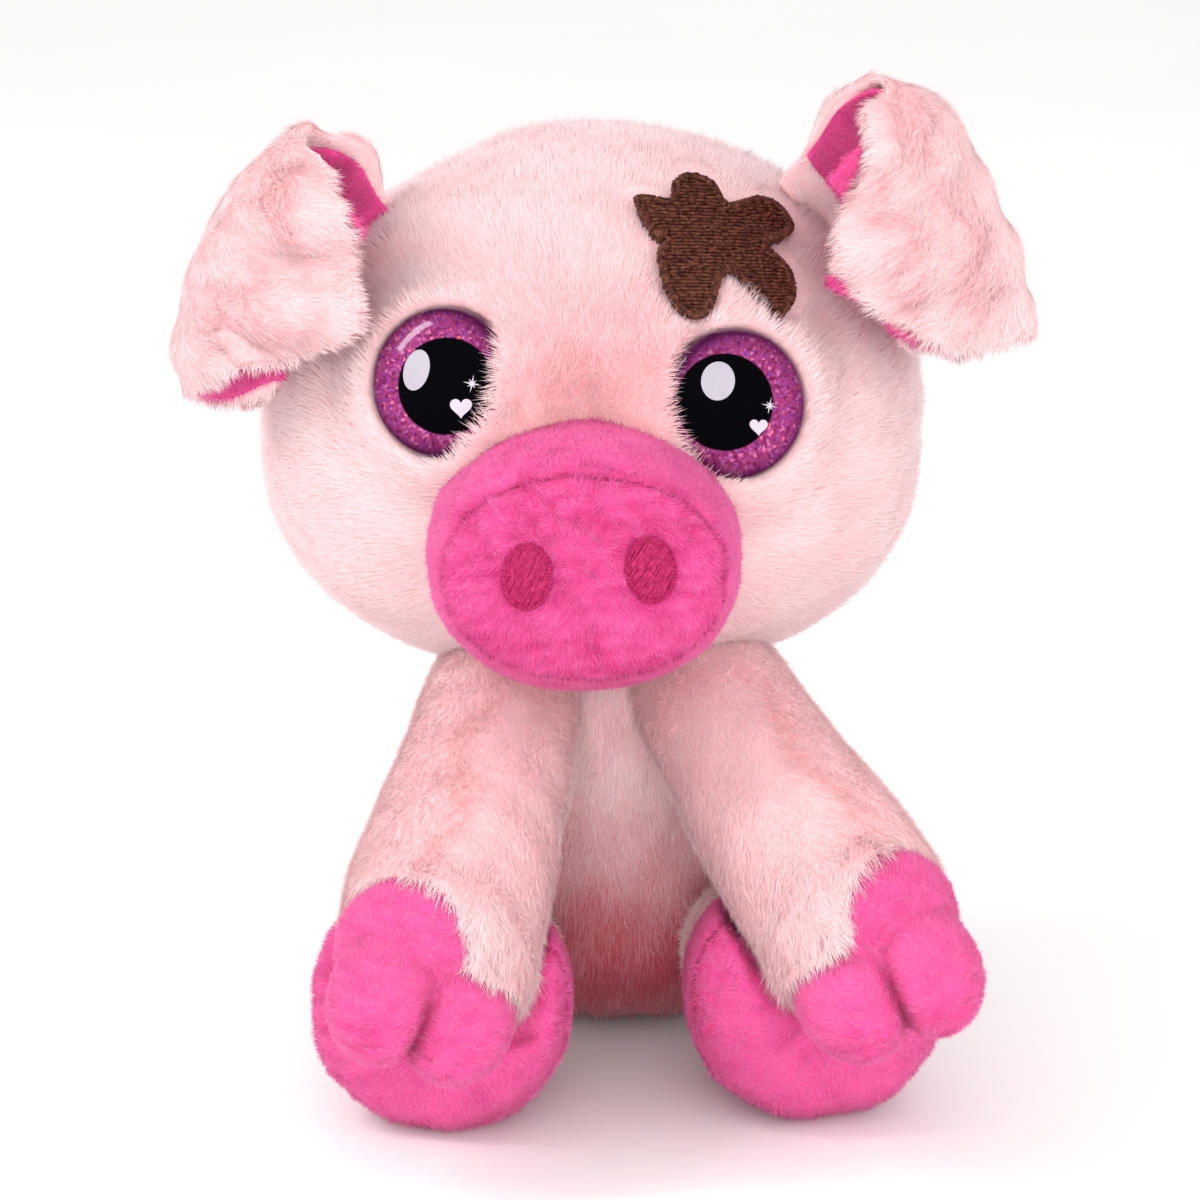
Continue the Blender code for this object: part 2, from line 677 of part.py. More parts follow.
def rounded_outline(points):
    """A closed outline through the points, with a rounded point between each pair."""
    smooth = []
    for i, point in enumerate(points):
        before = points[i - 1]
        after = points[(i + 1) % len(points)]
        later = points[(i + 2) % len(points)]
        smooth.append(point)
        bulge = (point + after - before - later) * PATCH_ROUNDING_SHARE
        smooth.append((point + after) / 2 + bulge)
    return smooth


def make_mud_patch():
    spot, _ = face_point(*PATCH_PLACE_SHARES)
    view = Vector((0, -cos(PATCH_VIEW_TILT), sin(PATCH_VIEW_TILT)))
    rise = Vector((0, sin(PATCH_VIEW_TILT), cos(PATCH_VIEW_TILT)))
    flat = [(RIGHTWARD * x + rise * y) * PATCH_WIDTH for x, y in PATCH_OUTLINE_SHARES]
    outline = rounded_outline(flat)
    mesh = bmesh.new()
    back = mesh.faces.new([mesh.verts.new(spot + point - view * PATCH_DEPTH) for point in outline])
    raised = bmesh.ops.extrude_face_region(mesh, geom=[back])
    front = [part for part in raised["geom"] if isinstance(part, bmesh.types.BMVert)]
    bmesh.ops.translate(mesh, verts=front, vec=view * (PATCH_DEPTH + PATCH_DEPTH))
    bmesh.ops.recalc_face_normals(mesh, faces=mesh.faces)
    thread = material("brown_thread", (0.07, 0.025, 0.015), 0.6, sheen=0.2)
    pad = piece("mud_patch", mesh, thread, "head")
    combine(pad, tool("patch_top", head_form(SEW_GAP + STITCH_PAD)), "INTERSECT")
    combine(pad, tool("patch_under", head_form(SEW_GAP)))


# Ears

def ear_frame(side):
    """The middle of the ear's seam on the head, the way along it, and the way out."""
    ring = sqrt(1 - (EAR_PLANE / HEAD_HALF_DEPTH) ** 2)
    ends = []
    for angle in EAR_SEAM_ANGLES[side]:
        across = SIDES[side] * HEAD_HALF_WIDTH * ring * cos(angle)
        ends.append(HEAD_CENTRE + Vector((across, -EAR_PLANE, HEAD_HALF_HEIGHT * ring * sin(angle))))
    upper, lower = ends
    along = (lower - upper).normalized()
    outward = Vector((-along.z, 0, along.x)) * SIDES[side]
    return (upper + lower) / 2, along, outward


def ear_path(side, offset, tuck, trim):
    """Places down the middle of the folded sheet, from its seam to its tip."""
    radius = EAR_FOLD_RADIUS - offset
    run = EAR_RUN[side]
    flap = EAR_FLAP[side] - trim
    arc = radius * EAR_FOLD_TURN
    length = tuck + run + arc + flap
    full = run + EAR_FOLD_RADIUS * EAR_FOLD_TURN + EAR_FLAP[side]
    places = []
    for step in range(EAR_STEPS + 1):
        travel = length * step / EAR_STEPS - tuck
        if travel < run:
            out, forward, heading = travel, offset, 0
            share = travel / full
        elif travel < run + arc:
            heading = (travel - run) / radius
            out = run + radius * sin(heading)
            forward = EAR_FOLD_RADIUS - radius * cos(heading)
            share = (run + EAR_FOLD_RADIUS * heading) / full
        else:
            heading = EAR_FOLD_TURN
            beyond = travel - run - arc
            out = run + radius * sin(heading) + beyond * cos(heading)
            forward = EAR_FOLD_RADIUS - radius * cos(heading) + beyond * sin(heading)
            share = (run + EAR_FOLD_RADIUS * heading + beyond) / full
        places.append((out, forward, heading, max(0, share)))
    return places


def ear_sheet(side, offset, thickness, tuck, trim, inset):
    """A sheet of cloth that follows the ear's fold at an offset from its outer cloth."""
    middle, along, outward = ear_frame(side)
    mesh = bmesh.new()
    faces_of_cloth = []
    for layer in (-thickness / 2, thickness / 2):
        rows = []
        for out, forward, heading, share in ear_path(side, offset + layer, tuck, trim):
            half_width = EAR_WIDTH * read_shares(EAR_HALF_WIDTH_SHARES, share) - inset
            drift = EAR_WIDTH * read_shares(EAR_DRIFT_SHARES, share)
            row = []
            for column in range(EAR_COLUMNS + 1):
                place = -cos(pi * column / EAR_COLUMNS)
                sag = EAR_BOW * (2 * half_width * place / EAR_WIDTH) ** 2
                reach = out * (1 - EAR_ROUNDING_SHARE * place ** 4)
                spot = middle + outward * reach + FRONT * (forward - sag)
                row.append(mesh.verts.new(spot + along * (half_width * place + drift)))
            rows.append(row)
        faces_of_cloth.append(rows)
    back, front = faces_of_cloth
    last = EAR_COLUMNS
    for i in range(EAR_STEPS):
        for j in range(EAR_COLUMNS):
            mesh.faces.new((back[i][j], back[i + 1][j], back[i + 1][j + 1], back[i][j + 1]))
            mesh.faces.new((front[i][j], front[i][j + 1], front[i + 1][j + 1], front[i + 1][j]))
        mesh.faces.new((back[i][0], front[i][0], front[i + 1][0], back[i + 1][0]))
        mesh.faces.new((back[i][last], back[i + 1][last], front[i + 1][last], front[i][last]))
    for j in range(EAR_COLUMNS):
        mesh.faces.new((back[0][j], back[0][j + 1], front[0][j + 1], front[0][j]))
        mesh.faces.new((back[-1][j], front[-1][j], front[-1][j + 1], back[-1][j + 1]))
    bmesh.ops.recalc_face_normals(mesh, faces=mesh.faces)
    return mesh


def make_ear(side):
    body = f"ear_{side}"
    middle, along, _ = ear_frame(side)
    anchor(body, middle, "head")
    turns = [turn_about(along * -SIDES[side], middle, -angle) for angle in sweep(0, EAR_SWING)]
    head_room = swept_tool(f"head_under_ear_{side}", CLOSE_HEAD_POINTS, turns)
    outer_finish = material(f"ear_pile_{side}", PALE_PILE, 0.9, sheen=0.4)
    lining_finish = material(f"ear_lining_pile_{side}", HOT_PINK, 0.85, sheen=0.4)
    outer = piece(f"ear_outer_{side}", ear_sheet(side, 0, EAR_CLOTH, EAR_TUCK, 0, 0), outer_finish, body)
    combine(outer, head_room, solver="MANIFOLD")
    inside = (EAR_CLOTH + LINING_CLOTH) / 2 + LINING_GAP
    sheet = ear_sheet(side, inside, LINING_CLOTH, EAR_TUCK, LINING_INSET, LINING_INSET)
    lining = piece(f"ear_lining_{side}", sheet, lining_finish, body)
    combine(lining, head_room, solver="MANIFOLD")


# Forelegs

def foreleg_frame(side):
    """The root of the foreleg's middle line, its heading, and the two ways across it."""
    splay, drop = FORELEG_SPLAY[side], FORELEG_DROP[side]
    root = Vector((SIDES[side] * FORELEG_SPREAD[side], -FORELEG_ROOT_FORWARD, FORELEG_ROOT_HEIGHT))
    heading = Vector((SIDES[side] * sin(splay) * cos(drop), -cos(splay) * cos(drop), -sin(drop)))
    across = heading.cross(UP).normalized()
    return root, heading, across, across.cross(heading)


def foreleg_pivot(side):
    root, heading, _, _ = foreleg_frame(side)
    return root + heading * FORELEG_LENGTH * FORELEG_PIVOT_SHARE - UP * FORELEG_PIVOT_DROP


def foreleg_axis(side):
    """The hinge line that swings the hoof up and a little outward."""
    heading = foreleg_frame(side)[1]
    way = Vector((SIDES[side] * sin(FORELEG_LIFT_OUT), 0, cos(FORELEG_LIFT_OUT)))
    return heading.cross(way).normalized()


def foreleg_rings(side, grow):
    root, heading, across, rise = foreleg_frame(side)
    wrist = FORELEG_RADIUS * FORELEG_WRIST_SHARE + grow
    sections = [(FORELEG_LENGTH * place, FORELEG_RADIUS * size + grow) for place, size in FORELEG_TAPER_SHARES]
    sections += [(FORELEG_LENGTH - SEAM_LIP, wrist), (FORELEG_LENGTH, wrist)]
    rings = []
    for place, radius in sections:
        radius = max(radius, SEW_GAP)
        rings.append(oval(root + heading * place, across, rise, radius, radius, 2, LIMB_SEGMENTS))
    return rings


def shoulder_tip(side, inset):
    """The closed end of the foreleg's inner shapes, inside the shoulder."""
    root, heading, _, _ = foreleg_frame(side)
    return root + heading * (FORELEG_LENGTH * FORELEG_TAPER_SHARES[0][0] + inset)


def foreleg_core(side, grow):
    """The foreleg's filling, with a blunt tip inside the hoof."""
    root, heading, across, rise = foreleg_frame(side)
    inset = PILE_CLOTH + FILL_GAP - grow
    rings = foreleg_rings(side, -inset)[1:]
    place, size = STUFFING_BLUNT_SHARES
    radius = (FORELEG_RADIUS * FORELEG_WRIST_SHARE - inset) * size
    blunt = root + heading * (FORELEG_LENGTH + grow + HOOF_STUFFING * place)
    rings.append(oval(blunt, across, rise, radius, radius, 2, LIMB_SEGMENTS))
    front = root + heading * (FORELEG_LENGTH + grow + HOOF_STUFFING)
    return loft(rings, shoulder_tip(side, inset), front)


def make_foreleg(side):
    body = f"foreleg_{side}"
    root, heading, across, rise = foreleg_frame(side)
    pivot = foreleg_pivot(side)
    anchor(body, pivot, "torso")
    axis = foreleg_axis(side)
    back_turns = [turn_about(axis, pivot, -lift) for lift in sweep(0, FORELEG_LIFT)]
    torso_room = swept_tool(f"torso_behind_foreleg_{side}", TORSO_POINTS, back_turns)
    head_moves = [turn @ pose for turn in back_turns for pose in head_limits()]
    head_room = swept_tool(f"head_over_foreleg_{side}", HEAD_POINTS, head_moves)
    snout_points = [point for ring in snout_side_rings(MOVE_GAP, SNOUT_SEAM) for point in ring]
    snout_room = swept_tool(f"snout_over_foreleg_{side}", snout_points, head_moves)

    pile = material(f"foreleg_pile_{side}", PALE_PILE, 0.9, sheen=0.4)
    outer = foreleg_rings(side, 0)[::-1]
    inner = foreleg_rings(side, -PILE_CLOTH)[:0:-1]
    sleeve_cloth = cloth_between(outer, inner, root, shoulder_tip(side, PILE_CLOTH))
    sleeve = piece(f"foreleg_sleeve_{side}", sleeve_cloth, pile, body)
    for room in (torso_room, head_room, snout_room):
        combine(sleeve, room)
    fibre = material(f"foreleg_fibre_{side}", FIBRE, 1.0)
    filling = piece(f"foreleg_filling_{side}", foreleg_core(side, 0), fibre, body)
    for room in (torso_room, head_room, snout_room):
        combine(filling, room)

    short_pile = material(f"hoof_pile_{side}", HOT_PINK, 0.85, sheen=0.4)
    start = FORELEG_LENGTH + SEAM_GAP
    wrist = FORELEG_RADIUS * FORELEG_WRIST_SHARE
    rings = [oval(root + heading * start, across, rise, wrist, wrist, 2, LIMB_SEGMENTS)]
    for place, size in CUFF_SHARES:
        centre = root + heading * (start + CUFF_LENGTH * place)
        rings.append(oval(centre, across, rise, wrist * size, wrist * size, 2, LIMB_SEGMENTS))
    cuff = loft(rings, root + heading * start, root + heading * (start + CUFF_LENGTH))
    hoof = piece(f"hoof_{side}", cuff, short_pile, body)

    splay = FORELEG_SPLAY[side]
    level = Vector((SIDES[side] * sin(splay), -cos(splay), 0))
    ahead = level * cos(HOOF_DROP) - UP * sin(HOOF_DROP)
    outward = across * copysign(1, across.x * SIDES[side])
    spread = outward * cos(HOOF_ROLL) + UP * sin(HOOF_ROLL)
    spread = (spread - ahead * spread.dot(ahead)).normalized()
    thick = ahead.cross(spread)
    middle = root + heading * start + ahead * HOOF_REACH
    for way in (-1, 1):
        centre = middle + spread * LOBE_SPREAD * way + ahead * LOBE_LEAD * way
        rings = []
        for level in range(1, LOBE_LEVELS):
            lift = -pi / 2 + pi * level / LOBE_LEVELS
            at = centre + ahead * LOBE_HALF_LENGTH * sin(lift)
            wide, high = LOBE_HALF_WIDTH * cos(lift), LOBE_HALF_HEIGHT * cos(lift)
            rings.append(oval(at, spread, thick, wide, high, 2, LIMB_SEGMENTS))
        lobe = loft(rings, centre - ahead * LOBE_HALF_LENGTH, centre + ahead * LOBE_HALF_LENGTH)
        combine(hoof, tool(f"hoof_lobe_{side}_{way}", lobe), "UNION")
    combine(hoof, tool(f"hoof_hollow_{side}", foreleg_core(side, SEW_GAP)))


# Hind legs

def hindleg_frame(side):
    yaw = HINDLEG_YAW[side]
    heading = Vector((SIDES[side] * sin(yaw), -cos(yaw), 0))
    pivot = Vector((SIDES[side] * HIP_SPREAD, -HIP_FORWARD[side], FOOT_HALF_HEIGHT - FLOOR_PRESS))
    return pivot, heading, heading.cross(UP)


def foot_pressed(side, spots, inset):
    """Points of the leg or foot, kept above the floor and below the foreleg that lies on it."""
    press_below(spots, UP * inset, -UP)
    pivot = hindleg_frame(side)[0]
    root, leg, _, rise = foreleg_frame(side)
    under = root + leg * FORELEG_LENGTH - rise * (FORELEG_RADIUS + MOVE_GAP + inset)
    for angle in sweep(-SPLAY_IN, SPLAY_OUT):
        turn = turn_about(UP * SIDES[side], pivot, -angle)
        press_below(spots, turn @ under, turn.to_3x3() @ rise)
    return spots


def hindleg_ring(side, place, size, inset=0.0):
    """A ring across the leg or foot, which hangs lower where it is smaller."""
    pivot, heading, across = hindleg_frame(side)
    centre = pivot + heading * (place - HINDLEG_ROOT) - UP * FOOT_DROP * (1 - size)
    half_width = FOOT_HALF_WIDTH * size - inset
    half_height = FOOT_HALF_HEIGHT * size - inset
    ring = oval(centre, across, UP, half_width, half_height, FOOT_POWER, LIMB_SEGMENTS)
    return foot_pressed(side, ring, inset)


def foot_tip(side, inset):
    pivot, heading, _ = hindleg_frame(side)
    tip = pivot + heading * (HINDLEG_LENGTH - HINDLEG_ROOT - inset) - UP * FOOT_DROP
    return foot_pressed(side, [tip], inset)[0]


def make_hindleg(side):
    body = f"hindleg_{side}"
    pivot, heading, _ = hindleg_frame(side)
    anchor(body, pivot, "torso")
    turns = [turn_about(UP * SIDES[side], pivot, -angle) for angle in sweep(-SPLAY_IN, SPLAY_OUT)]
    torso_room = swept_tool(f"torso_behind_hindleg_{side}", TORSO_POINTS, turns)
    ankle = HINDLEG_LENGTH * ANKLE_SHARE
    seam = HINDLEG_LENGTH * SOLE_SEAM_SHARE
    sections = [(HINDLEG_LENGTH * place, size) for place, size in HINDLEG_SHARES]
    sections += [(ankle - SEAM_LIP, ANKLE_SIZE_SHARE), (ankle, ANKLE_SIZE_SHARE)]
    start = pivot - heading * HINDLEG_ROOT - UP * FOOT_DROP

    pile = material(f"hindleg_pile_{side}", PALE_PILE, 0.9, sheen=0.4)
    outer = [hindleg_ring(side, *at) for at in sections[::-1]]
    inner = [hindleg_ring(side, *at, PILE_CLOTH) for at in sections[:0:-1]]
    closed_end = start + heading * PILE_CLOTH
    sleeve = piece(f"hindleg_sleeve_{side}", cloth_between(outer, inner, start, closed_end), pile, body)
    combine(sleeve, torso_room)

    short_pile = material(f"foot_pile_{side}", HOT_PINK, 0.85, sheen=0.4)
    band = [(ankle + SEAM_GAP, ANKLE_SIZE_SHARE), (ankle + SEAM_GAP + SEAM_LIP, ANKLE_SIZE_SHARE)]
    band += [(HINDLEG_LENGTH * place, size) for place, size in BAND_SHARES]
    band += [(seam - SEAM_LIP, 1), (seam, 1)]
    outer, inner = [[hindleg_ring(side, *at, inset) for at in band] for inset in (0, SHORT_CLOTH)]
    piece(f"foot_band_{side}", cloth_between(outer, inner), short_pile, body)

    crown = HINDLEG_LENGTH - seam - SHORT_CLOTH
    sole = [(seam + SEAM_GAP, 1)] + [(seam + crown * place, size) for place, size in SOLE_SHARES]
    over = [sole[0]] + [(place + SHORT_CLOTH * (1 - size), size) for place, size in sole[1:]]
    outer = [hindleg_ring(side, *at) for at in over]
    inner = [hindleg_ring(side, place, size, SHORT_CLOTH * size) for place, size in sole]
    mesh = cloth_between(outer, inner, foot_tip(side, 0), foot_tip(side, SHORT_CLOTH))
    piece(f"foot_sole_{side}", mesh, short_pile, body)

    inset = PILE_CLOTH + FILL_GAP
    rings = [hindleg_ring(side, *at, inset) for at in sections[1:] + band[2:] + sole[1:-1]]
    mesh = loft(rings, closed_end + heading * FILL_GAP, foot_tip(side, inset))
    filling = piece(f"hindleg_filling_{side}", mesh, material(f"hindleg_fibre_{side}", FIBRE, 1.0), body)
    combine(filling, torso_room)


# Tail

def make_tail():
    level = (TAIL_HEIGHT - HIP_HEIGHT) / (TORSO_HEIGHT - HIP_HEIGHT)
    surface = TORSO_HALF_DEPTH * read_shares(TORSO_TAPER_SHARES, level)
    pivot = Vector((0, surface, TAIL_HEIGHT))
    anchor("tail", pivot, "torso")
    spine = [pivot - Vector((0, TAIL_STUB, 0))]
    for step in range(TAIL_STEPS + 1):
        share = step / TAIL_STEPS
        turn = tau * TAIL_TURNS * share - pi / 2
        curl = TAIL_CURL_RADIUS * sin(pi / 2 * min(1, share / TAIL_OPENING_SHARE)) ** 2
        out = TAIL_PITCH * TAIL_TURNS * share
        spine.append(pivot + Vector((curl * cos(turn), out, curl * sin(turn))))
    rings = []
    rise = UP
    for i, point in enumerate(spine):
        ahead = (spine[min(i + 1, len(spine) - 1)] - spine[max(i - 1, 0)]).normalized()
        across = ahead.cross(rise).normalized()
        rise = across.cross(ahead)
        radius = TAIL_RADIUS * (1 + (TAIL_TIP_SHARE - 1) * i / (len(spine) - 1))
        rings.append(oval(point, across, rise, radius, radius, 2, TAIL_SEGMENTS))
    tip = spine[-1] + ahead * TAIL_RADIUS * TAIL_TIP_SHARE
    tail = piece("tail", loft(rings, spine[0], tip), material("tail_pile", PALE_PILE, 0.9, sheen=0.4), "tail")
    turns = [turn_about(UP, pivot, angle) for angle in sweep(-TAIL_WAG, TAIL_WAG)]
    combine(tail, swept_tool("torso_before_tail", CLOSE_TORSO_POINTS, turns))


make_torso()
make_head()
make_snout()
make_mud_patch()
for side in SIDES:
    make_ear(side)
    make_foreleg(side)
    make_hindleg(side)
make_tail()
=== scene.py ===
import math
import bmesh
import bpy
import numpy as np
from mathutils import Matrix, Vector
from mathutils.kdtree import KDTree


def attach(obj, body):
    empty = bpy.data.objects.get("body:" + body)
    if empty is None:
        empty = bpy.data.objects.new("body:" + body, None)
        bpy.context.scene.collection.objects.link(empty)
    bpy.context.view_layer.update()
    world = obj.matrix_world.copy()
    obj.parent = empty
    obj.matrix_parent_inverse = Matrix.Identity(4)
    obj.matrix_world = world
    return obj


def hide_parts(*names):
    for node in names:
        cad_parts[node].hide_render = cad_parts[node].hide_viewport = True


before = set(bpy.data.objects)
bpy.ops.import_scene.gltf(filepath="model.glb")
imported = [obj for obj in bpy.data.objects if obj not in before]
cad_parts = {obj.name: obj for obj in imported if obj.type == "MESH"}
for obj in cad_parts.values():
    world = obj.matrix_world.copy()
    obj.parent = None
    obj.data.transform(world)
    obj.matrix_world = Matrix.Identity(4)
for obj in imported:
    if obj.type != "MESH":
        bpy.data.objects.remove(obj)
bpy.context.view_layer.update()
print("frame loaded")

up, front, rightward = Vector((0, 0, 1)), Vector((0, -1, 0)), Vector((1, 0, 0))
sides = {"right": -1, "left": 1}  # the pig's own sides


# camera and light
camera = {"lens": 150, "sensor": 36, "distance": 0.8, "tilt": 14, "aim": (-0.0032, -0.020, 0.073)}

tilt = math.radians(camera["tilt"])
sight = Vector((0, math.cos(tilt), -math.sin(tilt)))
sightUp = Vector((0, math.sin(tilt), math.cos(tilt)))
eyePoint = Vector(camera["aim"]) - sight * camera["distance"]
bpy.ops.object.select_all(action="DESELECT")
bpy.ops.object.camera_add(location=eyePoint, rotation=(math.pi / 2 - tilt, 0, 0))
bpy.context.object.data.lens = camera["lens"]
bpy.context.object.data.sensor_width = camera["sensor"]
bpy.context.scene.camera = bpy.context.object

studio = {
    "world": 1.03,
    "lamps": {
        "keyLamp": {"at": (-0.35, -0.85, 0.85), "size": (0.9, 0.9), "power": 0.9, "mirrored": False},
        "fillLamp": {"at": (0.80, -0.75, 0.45), "size": (0.9, 0.9), "power": 1.9, "mirrored": False},
        "lowLamp": {"at": (0.06, -1.00, 0.27), "size": (0.8, 0.45), "power": 4.8, "mirrored": False},
        "topLamp": {"at": (-0.70, -0.08, 0.70), "size": (0.16, 0.50), "power": 3.0, "mirrored": True},
    },
}
world = bpy.context.scene.world or bpy.data.worlds.new("softWorld")
bpy.context.scene.world = world
world.use_nodes = True
world.node_tree.nodes["Background"].inputs["Color"].default_value = (1, 0.985, 0.98, 1)
world.node_tree.nodes["Background"].inputs["Strength"].default_value = studio["world"]
world.cycles_visibility.glossy = False  # the real eyes mirror a dark room
for name, lamp in studio["lamps"].items():
    away = Vector(lamp["at"]) - Vector((0, 0, 0.07))
    turn = away.to_track_quat("Z", "Y").to_euler()
    bpy.ops.object.light_add(type="AREA", location=lamp["at"], rotation=turn)
    bpy.context.object.name = name
    bpy.context.object.data.shape = "RECTANGLE"
    bpy.context.object.data.size, bpy.context.object.data.size_y = lamp["size"]
    bpy.context.object.data.energy = lamp["power"]
    bpy.context.object.visible_glossy = lamp["mirrored"]
bpy.context.scene.view_settings.view_transform = "Standard"


# finishes
def startFinish(name):
    finish = bpy.data.materials.new(name)
    finish.use_nodes = True
    tree = finish.node_tree
    return finish, tree, tree.nodes["Principled BSDF"]


def addRamp(tree, source, stops):
    ramp = tree.nodes.new("ShaderNodeValToRGB")
    while len(ramp.color_ramp.elements) < len(stops):
        ramp.color_ramp.elements.new(0.5)
    for stop, (place, colour) in zip(ramp.color_ramp.elements, stops):
        stop.position = place
        stop.color = (*colour, 1)
    tree.links.new(source, ramp.inputs["Fac"])
    return ramp.outputs["Color"]


def addMix(tree, share, first, second):
    mix = tree.nodes.new("ShaderNodeMix")
    mix.data_type = "RGBA"
    tree.links.new(share, mix.inputs["Factor"])
    tree.links.new(first, mix.inputs["A"])
    tree.links.new(second, mix.inputs["B"])
    return mix.outputs["Result"]


def addAttribute(tree, name, socket="Fac"):
    reader = tree.nodes.new("ShaderNodeAttribute")
    reader.attribute_name = name
    return reader.outputs[socket]


def pileFinish(name, light, deep, sheen, rough=0.8):
    # light and deep are the pile's colours from root to tip, where it is lightest and deepest; the deeper
    # roots are partly the pile's own colour and partly painted shade of the pile's depth
    finish, tree, shader = startFinish(name)
    tip = addAttribute(tree, "tip")
    places = [i / (len(light) - 1) for i in range(len(light))]
    pale = addRamp(tree, tip, list(zip(places, light)))
    rich = addRamp(tree, tip, list(zip(places, deep)))
    tree.links.new(addMix(tree, addAttribute(tree, "tone"), pale, rich), shader.inputs["Base Color"])
    shader.inputs["Roughness"].default_value = rough
    shader.inputs["Sheen Weight"].default_value = 0.3
    shader.inputs["Sheen Tint"].default_value = (*sheen, 1)
    shader.inputs["Sheen Roughness"].default_value = 0.5
    shader.inputs["Specular IOR Level"].default_value = 0.2
    return finish


palePile = pileFinish(
    "palePile",
    light=((0.93, 0.62, 0.63), (0.96, 0.73, 0.745), (0.98, 0.80, 0.815)),
    deep=((0.80, 0.36, 0.38), (0.87, 0.46, 0.48), (0.92, 0.57, 0.60)),
    sheen=(1.0, 0.80, 0.83),
)
# the belly's deep colours are painted shade and painted pink light reflected from the feet, for low down
# between the forelegs
bellyPileWithPaintedShade = pileFinish(
    "bellyPileWithPaintedShade",
    light=((0.95, 0.66, 0.67), (0.97, 0.76, 0.775), (0.99, 0.83, 0.84)),
    deep=((0.50, 0.060, 0.090), (0.62, 0.100, 0.135), (0.70, 0.155, 0.195)),
    sheen=(1.0, 0.6, 0.65),
)
hotPile = pileFinish(
    "hotPile",
    light=((0.80, 0.085, 0.31), (0.93, 0.15, 0.43), (0.97, 0.26, 0.55)),
    deep=((0.46, 0.016, 0.12), (0.64, 0.040, 0.22), (0.76, 0.075, 0.30)),
    sheen=(1.0, 0.25, 0.50),
)


def threadFinish(name, dark, bright, rough, size=900):
    finish, tree, shader = startFinish(name)
    place = tree.nodes.new("ShaderNodeTexCoord").outputs["Object"]
    grain = tree.nodes.new("ShaderNodeTexNoise")
    grain.inputs["Scale"].default_value = size
    grain.inputs["Detail"].default_value = 3
    tree.links.new(place, grain.inputs["Vector"])
    # the bright end of the thread colour is partly painted satin glint, partly thread that differs at random
    colour = addRamp(tree, grain.outputs["Fac"], ((0.35, dark), (0.7, bright)))
    tree.links.new(colour, shader.inputs["Base Color"])
    bump = tree.nodes.new("ShaderNodeBump")
    bump.inputs["Strength"].default_value = 0.4
    bump.inputs["Distance"].default_value = 0.0001
    tree.links.new(grain.outputs["Fac"], bump.inputs["Height"])
    tree.links.new(bump.outputs["Normal"], shader.inputs["Normal"])
    shader.inputs["Roughness"].default_value = rough
    return finish


# the bright colours of the brown and nostril threads are partly painted satin glints
brownThread = threadFinish("brownThread", (0.036, 0.009, 0.005), (0.175, 0.052, 0.030), 0.40, 1400)
nostrilThread = threadFinish("nostrilThread", (0.33, 0.005, 0.070), (0.54, 0.022, 0.14), 0.36, 1800)
seamThread = threadFinish("seamThread", (0.42, 0.02, 0.13), (0.62, 0.05, 0.24), 0.5)


# tools for soft pieces
def takeInHand(item):
    bpy.ops.object.select_all(action="DESELECT")
    item.select_set(True)
    bpy.context.view_layer.objects.active = item


def finishWith(item, kind, **settings):
    takeInHand(item)
    change = item.modifiers.new(kind.title(), kind)
    for key, value in settings.items():
        setattr(change, key, value)
    bpy.ops.object.modifier_apply(modifier=change.name)


def faceOutward(item):
    takeInHand(item)
    bpy.ops.object.mode_set(mode="EDIT")
    bpy.ops.mesh.select_all(action="SELECT")
    bpy.ops.mesh.normals_make_consistent(inside=False)
    bpy.ops.object.mode_set(mode="OBJECT")


def drawTube(name, rings, start=None, end=None, smooth=1):
    # a circle whose rim is extruded from ring to ring along the piece, with a point at a closed end
    fill = "NOTHING" if start is None else "TRIFAN"
    bpy.ops.object.select_all(action="DESELECT")
    bpy.ops.mesh.primitive_circle_add(vertices=len(rings[0]), radius=0.01, fill_type=fill)
    item = bpy.context.object
    item.name = item.data.name = name
    bpy.ops.object.mode_set(mode="EDIT")
    bpy.ops.mesh.select_all(action="DESELECT")
    draft = bmesh.from_edit_mesh(item.data)
    for corner in draft.verts:
        if corner.co.length < 0.001:
            corner.co = start
        else:
            corner.select_set(True)
    draft.select_flush(True)
    for step, ring in enumerate(rings):
        if step:
            bpy.ops.mesh.extrude_region_move()
            draft = bmesh.from_edit_mesh(item.data)
        for corner, spot in zip([v for v in draft.verts if v.select], ring):
            corner.co = spot
    if end is not None:
        bpy.ops.mesh.extrude_region_move()
        bpy.ops.mesh.merge(type="CENTER")
        draft = bmesh.from_edit_mesh(item.data)
        for corner in draft.verts:
            if corner.select:
                corner.co = end
    bmesh.update_edit_mesh(item.data)
    bpy.ops.mesh.select_all(action="SELECT")
    bpy.ops.mesh.normals_make_consistent(inside=False)
    bpy.ops.object.mode_set(mode="OBJECT")
    if smooth:
        finishWith(item, "SUBSURF", levels=smooth, render_levels=smooth)
    bpy.ops.object.shade_smooth()
    return item


def oval(centre, across, rise, halfWidth, halfHeight, power, count):
    ring = []
    for step in range(count):
        turn = math.tau * (step + 0.5) / count
        side, lift = math.cos(turn), math.sin(turn)
        side = math.copysign(abs(side) ** (2 / power), side) * halfWidth
        lift = math.copysign(abs(lift) ** (2 / power), lift) * halfHeight
        ring.append(centre + across * side + rise * lift)
    return ring


def circle(centre, across, rise, radius, count):
    return oval(centre, across, rise, radius, radius, 2, count)


def readShares(shares, at):
    places, values = zip(*shares)
    return float(np.interp(at, places, values))


def readPoints(item):
    spots = np.empty(len(item.data.vertices) * 3)
    item.data.vertices.foreach_get("co", spots)
    return spots.reshape(-1, 3)


def placePoints(item, spots):
    item.data.vertices.foreach_set("co", np.ascontiguousarray(spots).ravel())
    item.data.update()


def unit(rows):
    return rows / np.maximum(np.linalg.norm(rows, axis=1, keepdims=True), 1e-9)


